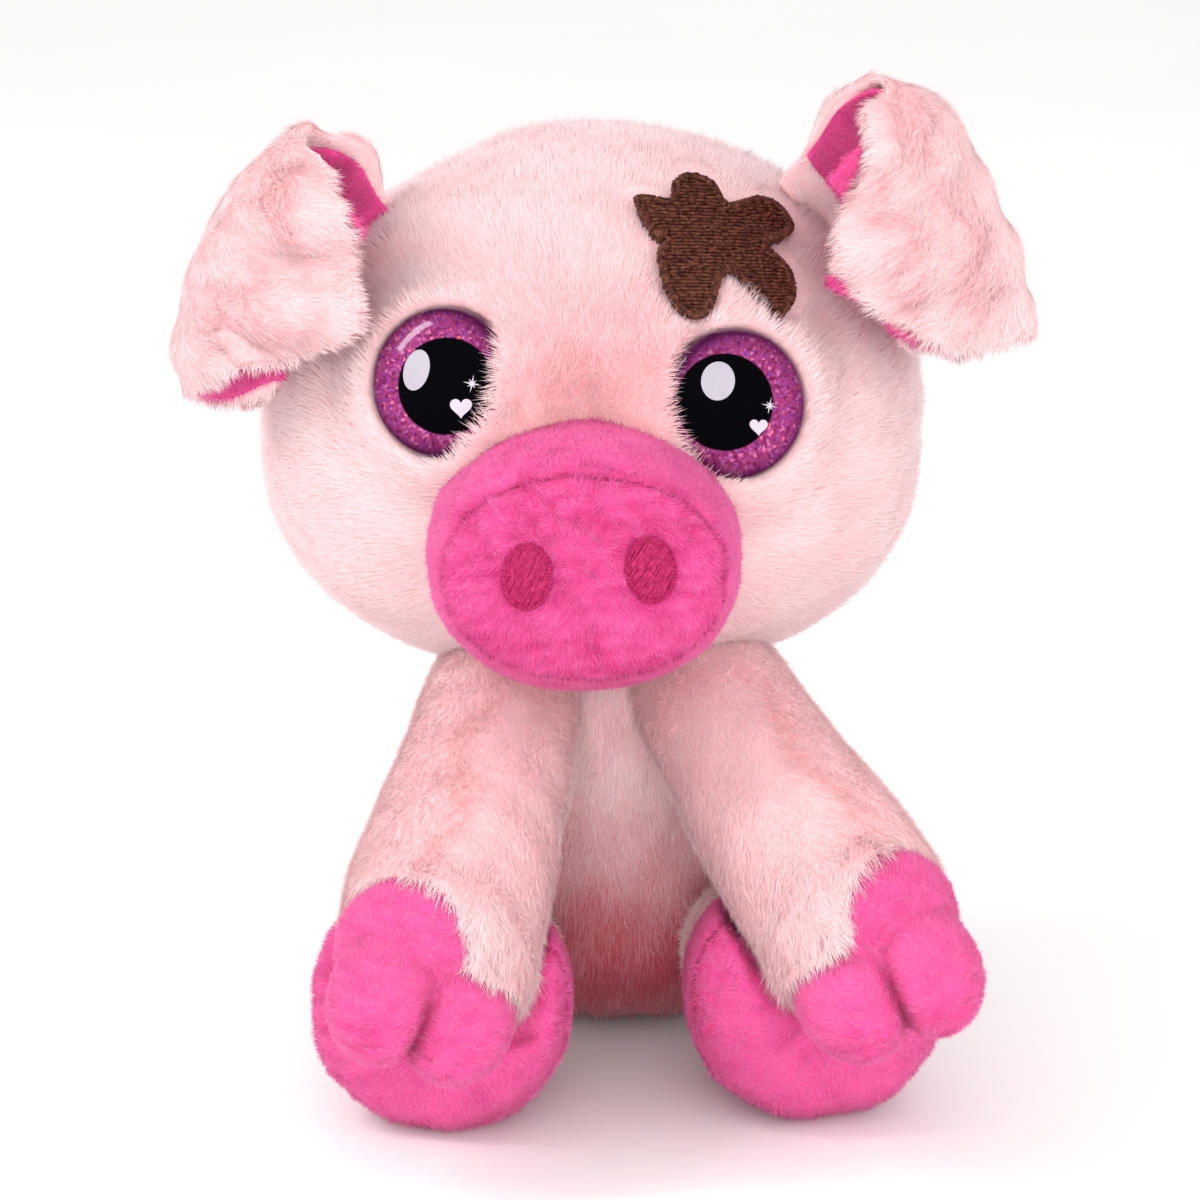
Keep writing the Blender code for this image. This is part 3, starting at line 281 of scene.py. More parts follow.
def swirl(spots, size, seed, waves=14):
    # smooth wandering directions, size metres from one to the next
    dice = np.random.default_rng(seed)
    total = np.zeros((len(spots), 3))
    for _ in range(waves):
        way = unit(dice.normal(size=(1, 3)))[0] * math.tau / size * dice.uniform(0.6, 1.5)
        total += np.sin(spots @ way + dice.uniform(0, math.tau))[:, None] * dice.normal(size=3)
    return total / math.sqrt(waves)


def softStep(low, high, values):
    share = np.clip((values - low) / (high - low), 0, 1)
    return share * share * (3 - 2 * share)


def lump(item, height, size, seed):
    # the slight unevenness of stuffed cloth
    spots = readPoints(item)
    normals = np.empty(len(spots) * 3)
    item.data.vertices.foreach_get("normal", normals)
    wave = swirl(spots, size, seed)[:, :1]
    placePoints(item, spots + normals.reshape(-1, 3) * wave * height)


def layAll(way, sink=0.3):
    # a comb that lays all the pile one way and a little down
    return lambda spots, outward: np.tile(np.array(way) - np.array((0, 0, sink)), (len(spots), 1))


# the long pile of the pale cloth and the short pile of the hot pink cloth, in metres and shares
longPile = {
    "perMm2": 12, "length": 0.0028, "width": 0.00016, "lift": 0.28, "loose": 0.09, "tuft": 0.006,
    "stray": 0.22, "fleck": 0.10, "relief": 0.2,
}
shortPile = {
    "perMm2": 14, "length": 0.0013, "width": 0.00014, "lift": 0.26, "loose": 0.11, "tuft": 0.0035,
    "stray": 0.45, "fleck": 0.14, "relief": 0.45,
}


def growPile(item, pile, comb, thick=None, tone=None, tall=None, stand=None):
    # plants strands of pile on the cloth; comb gives the way the nap lies, thick where it grows,
    # tone how deep its colour is, tall its height share and stand how much it is ruffled up
    tone = tone or (lambda spots: np.full(len(spots), 0.3))
    mesh = item.data
    mesh.calc_loop_triangles()
    base = readPoints(item)
    facing = np.empty(len(base) * 3)
    mesh.vertices.foreach_get("normal", facing)
    facing = facing.reshape(-1, 3)
    corners = np.empty(len(mesh.loop_triangles) * 3, int)
    mesh.loop_triangles.foreach_get("vertices", corners)
    corners = corners.reshape(-1, 3)
    a, b, c = base[corners[:, 0]], base[corners[:, 1]], base[corners[:, 2]]
    weight = np.linalg.norm(np.cross(b - a, c - a), axis=1) / 2
    if thick:
        weight = weight * thick((a + b + c) / 3)
    total = np.cumsum(weight)
    dice = np.random.default_rng(pile["seed"])
    count = int(total[-1] * 1e6 * pile["perMm2"])
    pick = np.searchsorted(total, (np.arange(count) + dice.random(count)) / count * total[-1])
    pick = np.minimum(pick, len(corners) - 1)
    s, t = np.sqrt(dice.random(count)), dice.random(count)
    shares = np.stack([1 - s, s * (1 - t), s * t], 1)
    roots = sum(base[corners[pick, k]] * shares[:, k, None] for k in range(3))
    outward = unit(sum(facing[corners[pick, k]] * shares[:, k, None] for k in range(3)))

    ruffle = stand(roots)[:, None] if stand else np.zeros((count, 1))
    lay = comb(roots, outward) + swirl(roots, pile["tuft"], pile["seed"]) * (pile["stray"] + ruffle)
    lay = lay - outward * np.sum(lay * outward, 1, keepdims=True)
    lay = lay / np.maximum(1, np.linalg.norm(lay, axis=1, keepdims=True))
    lift = pile["lift"] + 0.6 * ruffle
    loose = dice.normal(size=(count, 3)) * (pile["loose"] + 0.25 * ruffle)
    way = outward * lift + lay * (1 - lift) + loose
    inward = np.minimum(0, np.sum(way * outward, 1, keepdims=True) - 0.2)
    way = unit(way - outward * inward)
    length = pile["length"] * dice.uniform(0.7, 1.15, count)
    if tall:
        length = length * tall(roots)
    length = length[:, None]
    across = unit(np.cross(way, outward) + dice.normal(size=(count, 3)) * 0.15)
    across = unit(across - way * np.sum(way * across, 1, keepdims=True)) * pile["width"] / 2
    across *= np.where(np.sum(np.cross(across, way) * outward, 1, keepdims=True) < 0, -1, 1)
    # those seen edge on from the front are lit as the pile around them
    sight, plane = unit(np.array(eyePoint) - roots), unit(np.cross(across, way))
    turned = (np.sum(plane * sight, 1) < 0) & (np.sum(outward * sight, 1) > -0.10)
    across[turned] *= -1
    foot = roots - outward * pile["length"] * 0.05
    shade = np.clip(tone(roots) + dice.normal(size=count) * pile["fleck"], 0, 1)
    strands = np.stack([foot - across, foot + across, foot + way * length], 1).reshape(-1, 3)
    strands[:, 2] = np.maximum(strands[:, 2], 0.0001)  # none reach through the floor
    blades = bpy.data.meshes.new("strands")
    blades.vertices.add(count * 3)
    blades.vertices.foreach_set("co", strands.ravel())
    blades.loops.add(count * 3)
    blades.loops.foreach_set("vertex_index", np.arange(count * 3))
    blades.polygons.add(count)
    blades.polygons.foreach_set("loop_start", np.arange(count) * 3)
    blades.update(calc_edges=True)
    tuft = bpy.data.objects.new("strands", blades)
    bpy.context.scene.collection.objects.link(tuft)
    takeInHand(item)
    tuft.select_set(True)
    bpy.ops.object.join()

    mesh = item.data
    tones = np.concatenate([tone(base), np.repeat(shade, 3)])
    # the cloth beneath the pile takes the root colour, as painted shade of the pile's depth
    heights = np.concatenate([np.zeros(len(base)), np.tile((0, 0, 1), count)])
    for name, values in (("tone", tones), ("tip", heights)):
        mesh.attributes.new(name, "FLOAT", "POINT").data.foreach_set("value", values.astype(np.float32))
    soft = unit(outward + way * pile["relief"] + dice.normal(size=(count, 3)) * 0.05)
    soft[turned] = unit(sight - 0.6 * plane)[turned]
    normals = np.concatenate([facing, np.repeat(soft, 3, 0)])
    loops = np.empty(len(mesh.loops), int)
    mesh.loops.foreach_get("vertex_index", loops)
    # every face has a small place of its own in the sheet for baking
    sway = np.concatenate([np.zeros(len(base)), np.tile((-1, 1, 0), count)])
    spread = np.stack([tones + sway * 0.01, heights * 0.94 + 0.04], 1)[loops]
    inCloth, order = loops < len(base), np.arange(len(loops))
    wiggle = np.stack([order % 2 * 0.01, order // 2 % 2 * 0.03 - 0.03], 1)
    spread[inCloth] += wiggle[inCloth]
    layer = mesh.uv_layers.new(name="OFBake")
    layer.data.foreach_set("uv", np.clip(spread, 0, 1).astype(np.float32).ravel())
    mesh.polygons.foreach_set("use_smooth", np.ones(len(mesh.polygons), bool))
    mesh.normals_split_custom_set_from_vertices(normals)
    mesh.update()
    print(f"  {item.name}: {count} strands, {len(mesh.polygons)} faces")


def wear(item, finish, body, node):
    item.data.materials.clear()
    item.data.materials.append(finish)
    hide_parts(*([node] if isinstance(node, str) else node))
    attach(item, body)


def stitchShape():
    # one stitch, a metre long and thick, swollen in the middle and drawn in at its ends
    bpy.ops.object.select_all(action="DESELECT")
    bpy.ops.mesh.primitive_uv_sphere_add(segments=6, ring_count=5, radius=0.5, rotation=(0, math.pi / 2, 0))
    item = bpy.context.object
    bpy.ops.object.transform_apply(location=True, rotation=True, scale=True)
    spots = readPoints(item)
    spots[:, 0] = np.sign(spots[:, 0]) * 0.5 * (np.abs(spots[:, 0]) * 2) ** 0.45
    faces = [list(face.vertices) for face in item.data.polygons]
    bpy.data.objects.remove(item)
    return spots, faces


stitchSpots, stitchFaces = stitchShape()


def sewStitches(name, stitches):
    # each stitch is (middle, along, outward, length, thickness)
    spots, faces = [], []
    for middle, along, outward, length, thickness in stitches:
        along = along.normalized()
        across = outward.cross(along).normalized()
        rise = along.cross(across)
        turn = np.array([along * length, across * thickness, rise * thickness])
        first = len(spots) * len(stitchSpots)
        spots.append(stitchSpots @ turn + np.array(middle))
        faces += [[corner + first for corner in face] for face in stitchFaces]
    mesh = bpy.data.meshes.new(name)
    mesh.from_pydata(np.concatenate(spots).tolist(), [], faces)
    item = bpy.data.objects.new(name, mesh)
    bpy.context.scene.collection.objects.link(item)
    takeInHand(item)
    bpy.ops.object.shade_smooth()
    return item


def joinTo(item, *others):
    takeInHand(item)
    for other in others:
        other.select_set(True)
    bpy.ops.object.join()


head = {
    "centre": Vector((-0.0047, 0, 0.1016)), "half": (0.0540, 0.0440, 0.0450), "cheekPower": 2.35,
    "inset": 0.0011, "levels": 26, "segments": 64, "cheekSwell": 0.0012, "browDrop": 0.0020,
    "eyePlaces": {"right": (-0.418, 0.236), "left": (0.408, 0.165)},
    "eyeRadius": 0.0118, "eyeSeat": 0.0019, "eyeHole": 0.0108, "eyeReach": 0.02,
    "socketFloor": 0.0026, "socketSwell": 0.0034, "socketReach": 0.0095, "socketEdge": (0.0098, 0.0122),
    "innerSwell": {"right": 0.0036, "left": 0.0018}, "innerPush": {"right": 0.0022, "left": 0.0012},
    "lash": 0.45, "snoutHole": (0.0225, 0.0190), "neckRadius": 0.019, "neckTop": 0.0605,
    "lump": (0.00025, 0.018, 5),
    "pile": longPile | {"lift": 0.26, "loose": 0.08, "stray": 0.18, "seed": 3},
}


def headSpread(rise):
    power = head["cheekPower"] if rise < 0 else 2
    return max(0, 1 - abs(rise) ** power) ** (1 / power)


def facePoint(acrossShare, upShare):
    halfWidth, halfDepth, halfHeight = head["half"]
    forward = math.sqrt(headSpread(upShare) ** 2 - acrossShare ** 2)
    point = head["centre"] + Vector((halfWidth * acrossShare, -halfDepth * forward, halfHeight * upShare))
    slopes = (acrossShare / halfWidth, -forward / halfDepth, upShare / halfHeight)
    return point, Vector(slopes).normalized()


eyes = {}
for side in sides:
    spot, outward = facePoint(*head["eyePlaces"][side])
    eyes[side] = (spot - outward * head["eyeSeat"], outward)
snoutFoot = facePoint(-0.017, -0.333)[0]


def fromEye(side, spots):
    # how far the spots lie out along an eye's axis and aside of it, and their way aside
    seat, outward = (np.array(part) for part in eyes[side])
    height = (spots - seat) @ outward
    flat = spots - seat - height[:, None] * outward
    return height, np.linalg.norm(flat, axis=1), flat


def innerShare(side, spots):
    # how far a spot lies to the inner side of an eye, towards the bridge of the snout
    inner = np.array((-sides[side], 0, -0.45))
    return softStep(0.1, 0.95, unit(fromEye(side, spots)[2]) @ unit(inner[None])[0])


def makeHead():
    halfWidth, halfDepth, halfHeight = (half - head["inset"] for half in head["half"])
    rings = []
    for level in range(1, head["levels"]):
        rise = math.sin(-math.pi / 2 + math.pi * level / head["levels"])
        spread = headSpread(rise)
        half = halfWidth * spread, halfDepth * spread
        centre = head["centre"] + up * halfHeight * rise
        rings.append(oval(centre, rightward, front, *half, 2, head["segments"]))
    bottom, top = head["centre"] - up * halfHeight, head["centre"] + up * halfHeight
    item = drawTube("headSkin", rings, bottom, top, 2)
    spots = readPoints(item)
    shape = (spots - np.array(head["centre"])) / np.array((halfWidth, halfDepth, halfHeight))
    cheek = softStep(0.35, 0.8, np.abs(shape[:, 0])) * np.exp(-((shape[:, 2] + 0.5) / 0.3) ** 2)
    spots += unit(shape) * (cheek * head["cheekSwell"])[:, None]
    brow = softStep(0.1, 0.5, -shape[:, 0]) * softStep(0.3, 0.8, shape[:, 2])
    spots[:, 2] -= brow * head["browDrop"]
    inside, edge = head["socketEdge"]
    for side, (_, outward) in eyes.items():
        # the cloth swells round the eye, most at its inner side, and is pressed in under it
        height, away, flat = fromEye(side, spots)
        near = np.abs(height) < head["eyeReach"]
        swell = softStep(-head["socketReach"], 0, -np.abs(away - head["eyeRadius"] - 0.0012))
        inner = innerShare(side, spots)
        rise = swell * (head["socketSwell"] + head["innerSwell"][side] * inner)
        rise *= 1 - 0.9 * (withinLine(flatOnPatch(spots) * 0.9, patchLine) & (spots[:, 1] < 0))
        spots += np.array(outward) * (rise * near)[:, None]
        push = swell ** 3 * near * inner * (away > head["eyeRadius"]) * head["innerPush"][side]
        spots -= unit(flat) * push[:, None]
        height = fromEye(side, spots)[0]
        floor = -head["socketFloor"] + 0.004 * softStep(inside, edge, away)
        press = np.minimum(0, floor - height) * (away < edge) * near
        spots += np.array(outward) * press[:, None]
    placePoints(item, spots)
    lump(item, *head["lump"])

    snout = np.array(snoutFoot)

    def nearEye(side, spots, reach):
        height, away, _ = fromEye(side, spots)
        return softStep(-reach, 0, head["eyeRadius"] - away) * (np.abs(height) < head["eyeReach"])

    def onBrow(spots, height, halfWidth, halfHeight):
        flat = ((spots[:, 0] + 0.004) / halfWidth) ** 2 + ((spots[:, 2] - height) / halfHeight) ** 2
        return np.exp(-flat) * (spots[:, 1] < 0)

    def comb(spots, outward):
        radial = unit(spots - snout)
        behind = softStep(-0.01, 0.03, spots[:, 1])[:, None]
        way = radial * (1 - behind) + np.array((0, 0.2, -1.0)) * behind
        for side, (seat, _) in eyes.items():
            pull = (nearEye(side, spots, 0.004) * innerShare(side, spots))[:, None]
            way = way * (1 - pull) + unit(np.array(seat) - spots) * pull
        return way

    def thick(spots):
        share = 1.0 - 0.45 * softStep(-0.005, 0.03, spots[:, 1])
        for side in eyes:
            height, away, _ = fromEye(side, spots)
            share *= (away > head["eyeHole"]) | (np.abs(height) > head["eyeReach"])
        halfWidth, halfHeight = head["snoutHole"]
        arm = spots - snout
        inSnout = (arm[:, 0] / halfWidth) ** 2 + (arm[:, 2] / halfHeight) ** 2 < 1
        share *= ~(inSnout & (spots[:, 1] < 0))
        share *= ~inPatch(spots)
        neck = (spots[:, 2] < head["neckTop"]) & (np.hypot(spots[:, 0], spots[:, 1]) < head["neckRadius"])
        return share * ~neck

    def tone(spots):
        # the brow between the eyes shows more of the roots
        brow = onBrow(spots, 0.112, 0.020, 0.018) * (0.85 + 0.16 * swirl(spots, 0.0025, 4)[:, 0])
        return 0.14 + brow + 0.10 * swirl(spots, 0.014, 8)[:, 0] + 0.04 * swirl(spots, 0.004, 9)[:, 0]

    def tall(spots):
        # shorter on the brow and close round the mud patch, longer at the eyes' inner sides
        share = 1 - 0.3 * onBrow(spots, 0.108, 0.018, 0.016)
        for side in eyes:
            share += head["lash"] * nearEye(side, spots, 0.003) * innerShare(side, spots)
        closeToPatch = withinLine(flatOnPatch(spots) * 0.86, patchLine) & (spots[:, 1] < 0)
        return share * (1 - 0.5 * closeToPatch)

    def stand(spots):
        return 0.42 * onBrow(spots, 0.110, 0.016, 0.013)

    growPile(item, head["pile"], comb, thick, tone, tall, stand)
    wear(item, palePile, "head", ["head_skin", "head_filling"])


# the mud splash, embroidered on the brow
mudPatch = {
    "width": 0.0252, "place": (0.380, 0.684), "tilt": 14, "rounding": 0.0625,
    "outline": (
        (-0.545, 0.267), (-0.42, 0.285), (-0.315, 0.27), (-0.30, 0.38), (-0.206, 0.448), (-0.048, 0.40),
        (0.042, 0.255), (0.218, 0.309), (0.364, 0.273), (0.455, 0.133), (0.40, 0.042), (0.273, 0.0),
        (0.418, -0.150), (0.455, -0.33), (0.364, -0.470), (0.255, -0.46), (0.133, -0.285), (0.042, -0.195),
        (-0.012, -0.245), (-0.067, -0.425), (-0.17, -0.495), (-0.297, -0.425), (-0.382, -0.205),
        (-0.394, -0.06), (-0.333, 0.018), (-0.436, 0.042),
    ),
    "rowPitch": 0.00056, "stitch": 0.0019, "thread": 0.00056, "border": 0.0015, "borderPitch": 0.00036,
    "height": 0.0010, "thickness": 0.0022, "grid": (64, 58), "end": 0.0003, "overlap": 0.0004, "seed": 21,
}
patchTilt = math.radians(mudPatch["tilt"])
patchView = Vector((0, -math.cos(patchTilt), math.sin(patchTilt)))
patchRise = Vector((0, math.sin(patchTilt), math.cos(patchTilt)))
patchSpot = facePoint(*mudPatch["place"])[0]


def roundedOutline(points, rounding, times=2):
    for _ in range(times):
        smooth = []
        for i, point in enumerate(points):
            before, after = points[i - 1], points[(i + 1) % len(points)]
            later = points[(i + 2) % len(points)]
            smooth += [point, (point + after) / 2 + (point + after - before - later) * rounding]
        points = smooth
    return points


patchOutline = roundedOutline(
    [Vector(point) * mudPatch["width"] for point in mudPatch["outline"]], mudPatch["rounding"]
)
patchLine = np.array([tuple(point) for point in patchOutline])


def withinLine(flat, line):
    # which of the flat points lie within the closed line
    inside = np.zeros(len(flat), bool)
    for start, end in zip(line, np.roll(line, -1, 0)):
        spans = (start[1] > flat[:, 1]) != (end[1] > flat[:, 1])
        if start[1] != end[1]:
            cross = start[0] + (flat[:, 1] - start[1]) / (end[1] - start[1]) * (end[0] - start[0])
            inside ^= spans & (flat[:, 0] < cross)
    return inside


def flatOnPatch(spots):
    arm = spots - np.array(patchSpot)
    return np.stack([arm @ np.array(rightward), arm @ np.array(patchRise)], 1)


def inPatch(spots):
    near = (spots[:, 1] < 0) & (spots[:, 2] > head["centre"].z)
    return near & withinLine(flatOnPatch(spots) * 1.02, patchLine)


def onHead(x, y, height):
    # the point of the head's surface, raised by height, that shows at x, y of the patch's view
    half = np.array(head["half"]) + height
    start = patchSpot + rightward * x + patchRise * y - head["centre"]
    a = sum((patchView[k] / half[k]) ** 2 for k in range(3))
    b = sum(patchView[k] * start[k] / half[k] ** 2 for k in range(3))
    c = sum((start[k] / half[k]) ** 2 for k in range(3)) - 1
    reach = (-b + math.sqrt(max(0, b * b - a * c))) / a
    point = start + patchView * reach
    outward = Vector([point[k] / half[k] ** 2 for k in range(3)]).normalized()
    return point + head["centre"], outward


def makePatch():
    size = mudPatch["width"]
    bpy.ops.object.select_all(action="DESELECT")
    columns, rows = mudPatch["grid"]
    bpy.ops.mesh.primitive_grid_add(x_subdivisions=columns, y_subdivisions=rows, size=size * 1.15)
    item = bpy.context.object
    item.name = item.data.name = "mudPatch"
    bpy.ops.object.mode_set(mode="EDIT")
    bpy.ops.mesh.select_all(action="DESELECT")
    draft = bmesh.from_edit_mesh(item.data)
    centres = np.array([tuple(face.calc_center_median()) for face in draft.faces])
    for face, inside in zip(draft.faces, withinLine(centres[:, :2] * 1.03, patchLine)):
        face.select_set(not inside)
    bmesh.update_edit_mesh(item.data)
    bpy.ops.mesh.delete(type="FACE")
    bpy.ops.object.mode_set(mode="OBJECT")
    placed = [onHead(x, y, mudPatch["height"] - 0.0002)[0] for x, y, _ in readPoints(item)]
    placePoints(item, np.array([tuple(point) for point in placed]))
    faceOutward(item)
    if sum((face.normal.dot(patchView) for face in item.data.polygons)) < 0:
        item.data.flip_normals()
    finishWith(item, "SOLIDIFY", thickness=mudPatch["thickness"], offset=-1)
    bpy.ops.object.shade_smooth()

    dice = np.random.default_rng(mudPatch["seed"])
    stitches = []
    low, high = patchLine[:, 1].min(), patchLine[:, 1].max()
    rows = int((high - low) / mudPatch["rowPitch"])
    for row in range(rows + 1):
        y = low + (row + 0.5) * (high - low) / (rows + 1)
        crossings = []
        for start, end in zip(patchLine, np.roll(patchLine, -1, 0)):
            if (start[1] > y) != (end[1] > y):
                crossings.append(start[0] + (y - start[1]) / (end[1] - start[1]) * (end[0] - start[0]))
        crossings.sort()
        for left, right in zip(crossings[::2], crossings[1::2]):
            place = left - mudPatch["stitch"] * ((row * 0.37) % 1)
            while place < right:
                ahead = place + mudPatch["stitch"] * dice.uniform(0.85, 1.1)
                first, last = max(place, left + mudPatch["end"]), min(ahead, right - mudPatch["end"])
                if last - first > mudPatch["overlap"]:
                    slant = dice.normal() * 0.00005
                    height = mudPatch["height"] + dice.normal() * 0.00003
                    middle, outward = onHead((first + last) / 2, y + slant, height)
                    begin, _ = onHead(first, y - slant, mudPatch["height"])
                    stop, _ = onHead(last, y + slant * 3, mudPatch["height"])
                    length = last - first + mudPatch["overlap"]
                    stitches.append((middle, stop - begin, outward, length, mudPatch["thread"]))
                place = ahead
    run = np.linalg.norm(np.roll(patchLine, -1, 0) - patchLine, axis=1)
    travel = np.concatenate([[0], np.cumsum(run)])
    closed = np.concatenate([patchLine, patchLine[:1]])
    for at in np.arange(0, travel[-1], mudPatch["borderPitch"]):
        spot = np.array([np.interp(at, travel, closed[:, k]) for k in range(2)])
        later = np.array([np.interp((at + 0.0004) % travel[-1], travel, closed[:, k]) for k in range(2)])
        along = unit((later - spot)[None])[0]
        inwards = np.array((-along[1], along[0]))
        if not withinLine((spot + inwards * 0.0004)[None], patchLine)[0]:
            inwards = -inwards
        middle = spot + inwards * mudPatch["border"] * 0.32
        point, outward = onHead(*middle, mudPatch["height"] + 0.00022)
        ahead = middle + inwards * 0.0005 + along * dice.normal() * 0.00008
        end, _ = onHead(*ahead, mudPatch["height"] + 0.00026)
        length = mudPatch["border"] * dice.uniform(0.9, 1.1)
        stitches.append((point, end - point, outward, length, mudPatch["thread"] * 0.95))
    joinTo(item, sewStitches("patchThreads", stitches))
    wear(item, brownThread, "head", "mud_patch")
    print(f"  mud patch: {len(stitches)} stitches")


makeHead()
makePatch()
print("head and mud patch made")


snout = {
    "base": (0.0245, 0.0210), "face": (0.0224, 0.0166), "seam": 0.0173, "crown": 0.0045, "power": 2.15,
    "inset": 0.0006, "groove": 0.0013, "segments": 48,
    "bulge": (
        (-0.75, 0.0), (0.0, 0.0), (0.2, 0.01), (0.4, 0.06), (0.6, 0.20), (0.78, 0.45), (0.9, 0.78),
        (0.97, 0.98),
    ),
    "dome": (
        (0, 1), (0.28, 0.985), (0.45, 0.955), (0.55, 0.92), (0.68, 0.85), (0.8, 0.74), (0.88, 0.60),
        (0.93, 0.45), (0.975, 0.22), (1, 0),
    ),
    "pile": shortPile | {"perMm2": 16, "lift": 0.28, "loose": 0.13, "seed": 11},
    "bandLump": (0.0002, 0.010, 6), "faceLump": (0.0002, 0.009, 7), "seamStitches": 170,
    "nostrilSlant": {"right": 62, "left": 40}, "nostrilBorder": 58,
    "nostrils": {"right": (-0.385, 0.055, 4), "left": (0.45, 0.12, -8)},
    "nostrilHalf": (0.0038, 0.0052), "thread": 0.00042, "threadPitch": 0.00030, "nostrilDome": 0.0007,
}


def snoutRing(reach, taper, grow, size=1.0):
    half = [(low + (high - low) * taper + grow) * size for low, high in zip(snout["base"], snout["face"])]
    return oval(snoutFoot + front * reach, rightward, up, *half, snout["power"], snout["segments"])


def snoutFace(x, z, grow=0.0):
    # the front panel's surface at x, z from the snout's middle
    power = snout["power"]
    halfWidth, halfHeight = (size - snout["inset"] + grow for size in snout["face"])
    share = min(1, (abs(x / halfWidth) ** power + abs(z / halfHeight) ** power) ** (1 / power))
    rise = readShares(snout["dome"], share) * (snout["crown"] - snout["inset"])
    return snoutFoot + Vector((x, 0, z)) + front * (snout["seam"] + rise + grow)


def makeSnout():
    seam, inset = snout["seam"], snout["inset"]
    rings = [snoutRing(seam * place, taper, -inset) for place, taper in snout["bulge"]]
    for back, depth in ((0.0003, 0.4), (0, 1), (0.001, 2.2)):
        rings.append(snoutRing(seam - back, 1, -inset - snout["groove"] * depth))
    band = drawTube("snoutBand", rings)
    lump(band, *snout["bandLump"])
    middle = np.array(snoutFoot)

    def seamAndShadeTone(spots):
        reach = middle[1] - spots[:, 1]
        near = np.exp(-((reach - seam) / 0.0012) ** 2)
        # painted shade: the band and front panel are deeper towards the snout's bottom, which turns away from
        # the light above
        low = softStep(0.004, 0.020, middle[2] - spots[:, 2])
        return 0.12 + 0.40 * near + 0.2 * low + 0.13 * swirl(spots, 0.006, 9)[:, 0]

    def bandThick(spots):
        reach = middle[1] - spots[:, 1]
        radius = np.hypot((spots[:, 0] - middle[0]) / 0.0224, (spots[:, 2] - middle[2]) / 0.0166)
        return (reach > -0.004) & (radius > 0.86)

    growPile(band, snout["pile"], layAll((0, 0.9, 0), 0.4), bandThick, seamAndShadeTone)
    wear(band, hotPile, "head", "snout_band")

    rings = [snoutRing(seam + reach, 1, -inset - snout["groove"] * depth)
             for reach, depth in ((0.0004, 2.2), (0.0003, 1), (0.0006, 0.35))]
    for share, rise in reversed(snout["dome"][1:-1]):
        reach = seam + 0.0006 + (snout["crown"] - 0.0006 - inset) * rise
        rings.append(snoutRing(reach, 1, -inset, share))
    panel = drawTube("snoutFace", rings, None, snoutFoot + front * (seam + snout["crown"] - inset))
    lump(panel, *snout["faceLump"])

    def panelComb(spots, outward):
        flat = (spots - middle) * np.array((1, 0, 1))
        return unit(flat) * 0.7 + np.array((0, 0, -0.55))

    def panelThick(spots):
        share = np.ones(len(spots))
        for x, z, lean in snout["nostrils"].values():
            flat = nostrilFlat(spots, x, z, lean)
            share *= (flat ** 2).sum(1) > 0.80
        return share * (middle[1] - spots[:, 1] > seam + 0.0004)

    def panelTone(spots):
        share = seamAndShadeTone(spots) + 0.34 + 0.12 * swirl(spots, 0.0022, 17)[:, 0]
        for x, z, lean in snout["nostrils"].values():
            flat = nostrilFlat(spots, x, z, lean)
            share = share + 0.35 * np.exp(-np.maximum(0, np.hypot(flat[:, 0], flat[:, 1]) - 1) / 0.25)
        return share

    growPile(panel, snout["pile"] | {"seed": 12}, panelComb, panelThick, panelTone)
    wear(panel, hotPile, "head", ["snout_face", "snout_filling"])

    stitches = []
    seamLine = snoutRing(seam, 1, -inset - snout["groove"] * 0.6)
    count = snout["seamStitches"]
    for step in range(count):
        at = step / count * len(seamLine)
        first, second = seamLine[int(at) % len(seamLine)], seamLine[(int(at) + 1) % len(seamLine)]
        spot = first.lerp(second, at % 1)
        outward = (spot - snoutFoot - front * seam).normalized()
        along = (second - first).normalized()
        stitches.append((spot, along * 0.5 + front * (0.8 if step % 2 else -0.8), outward, 0.0011, 0.00030))
    seamStitches = sewStitches("snoutSeam", stitches)
    seamStitches.data.materials.append(seamThread)
    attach(seamStitches, "head")


def nostrilFlat(spots, x, z, lean):
    # the spots seen from the front, as shares of the nostril's half sizes
    middle = snoutFoot + rightward * snout["face"][0] * x + up * snout["face"][1] * z
    turn = Matrix.Rotation(math.radians(lean), 3, "Y")
    arm = spots - np.array(middle)
    halfWidth, halfHeight = snout["nostrilHalf"]
    return np.stack([arm @ np.array(turn @ rightward) / halfWidth, arm @ np.array(turn @ up) / halfHeight], 1)


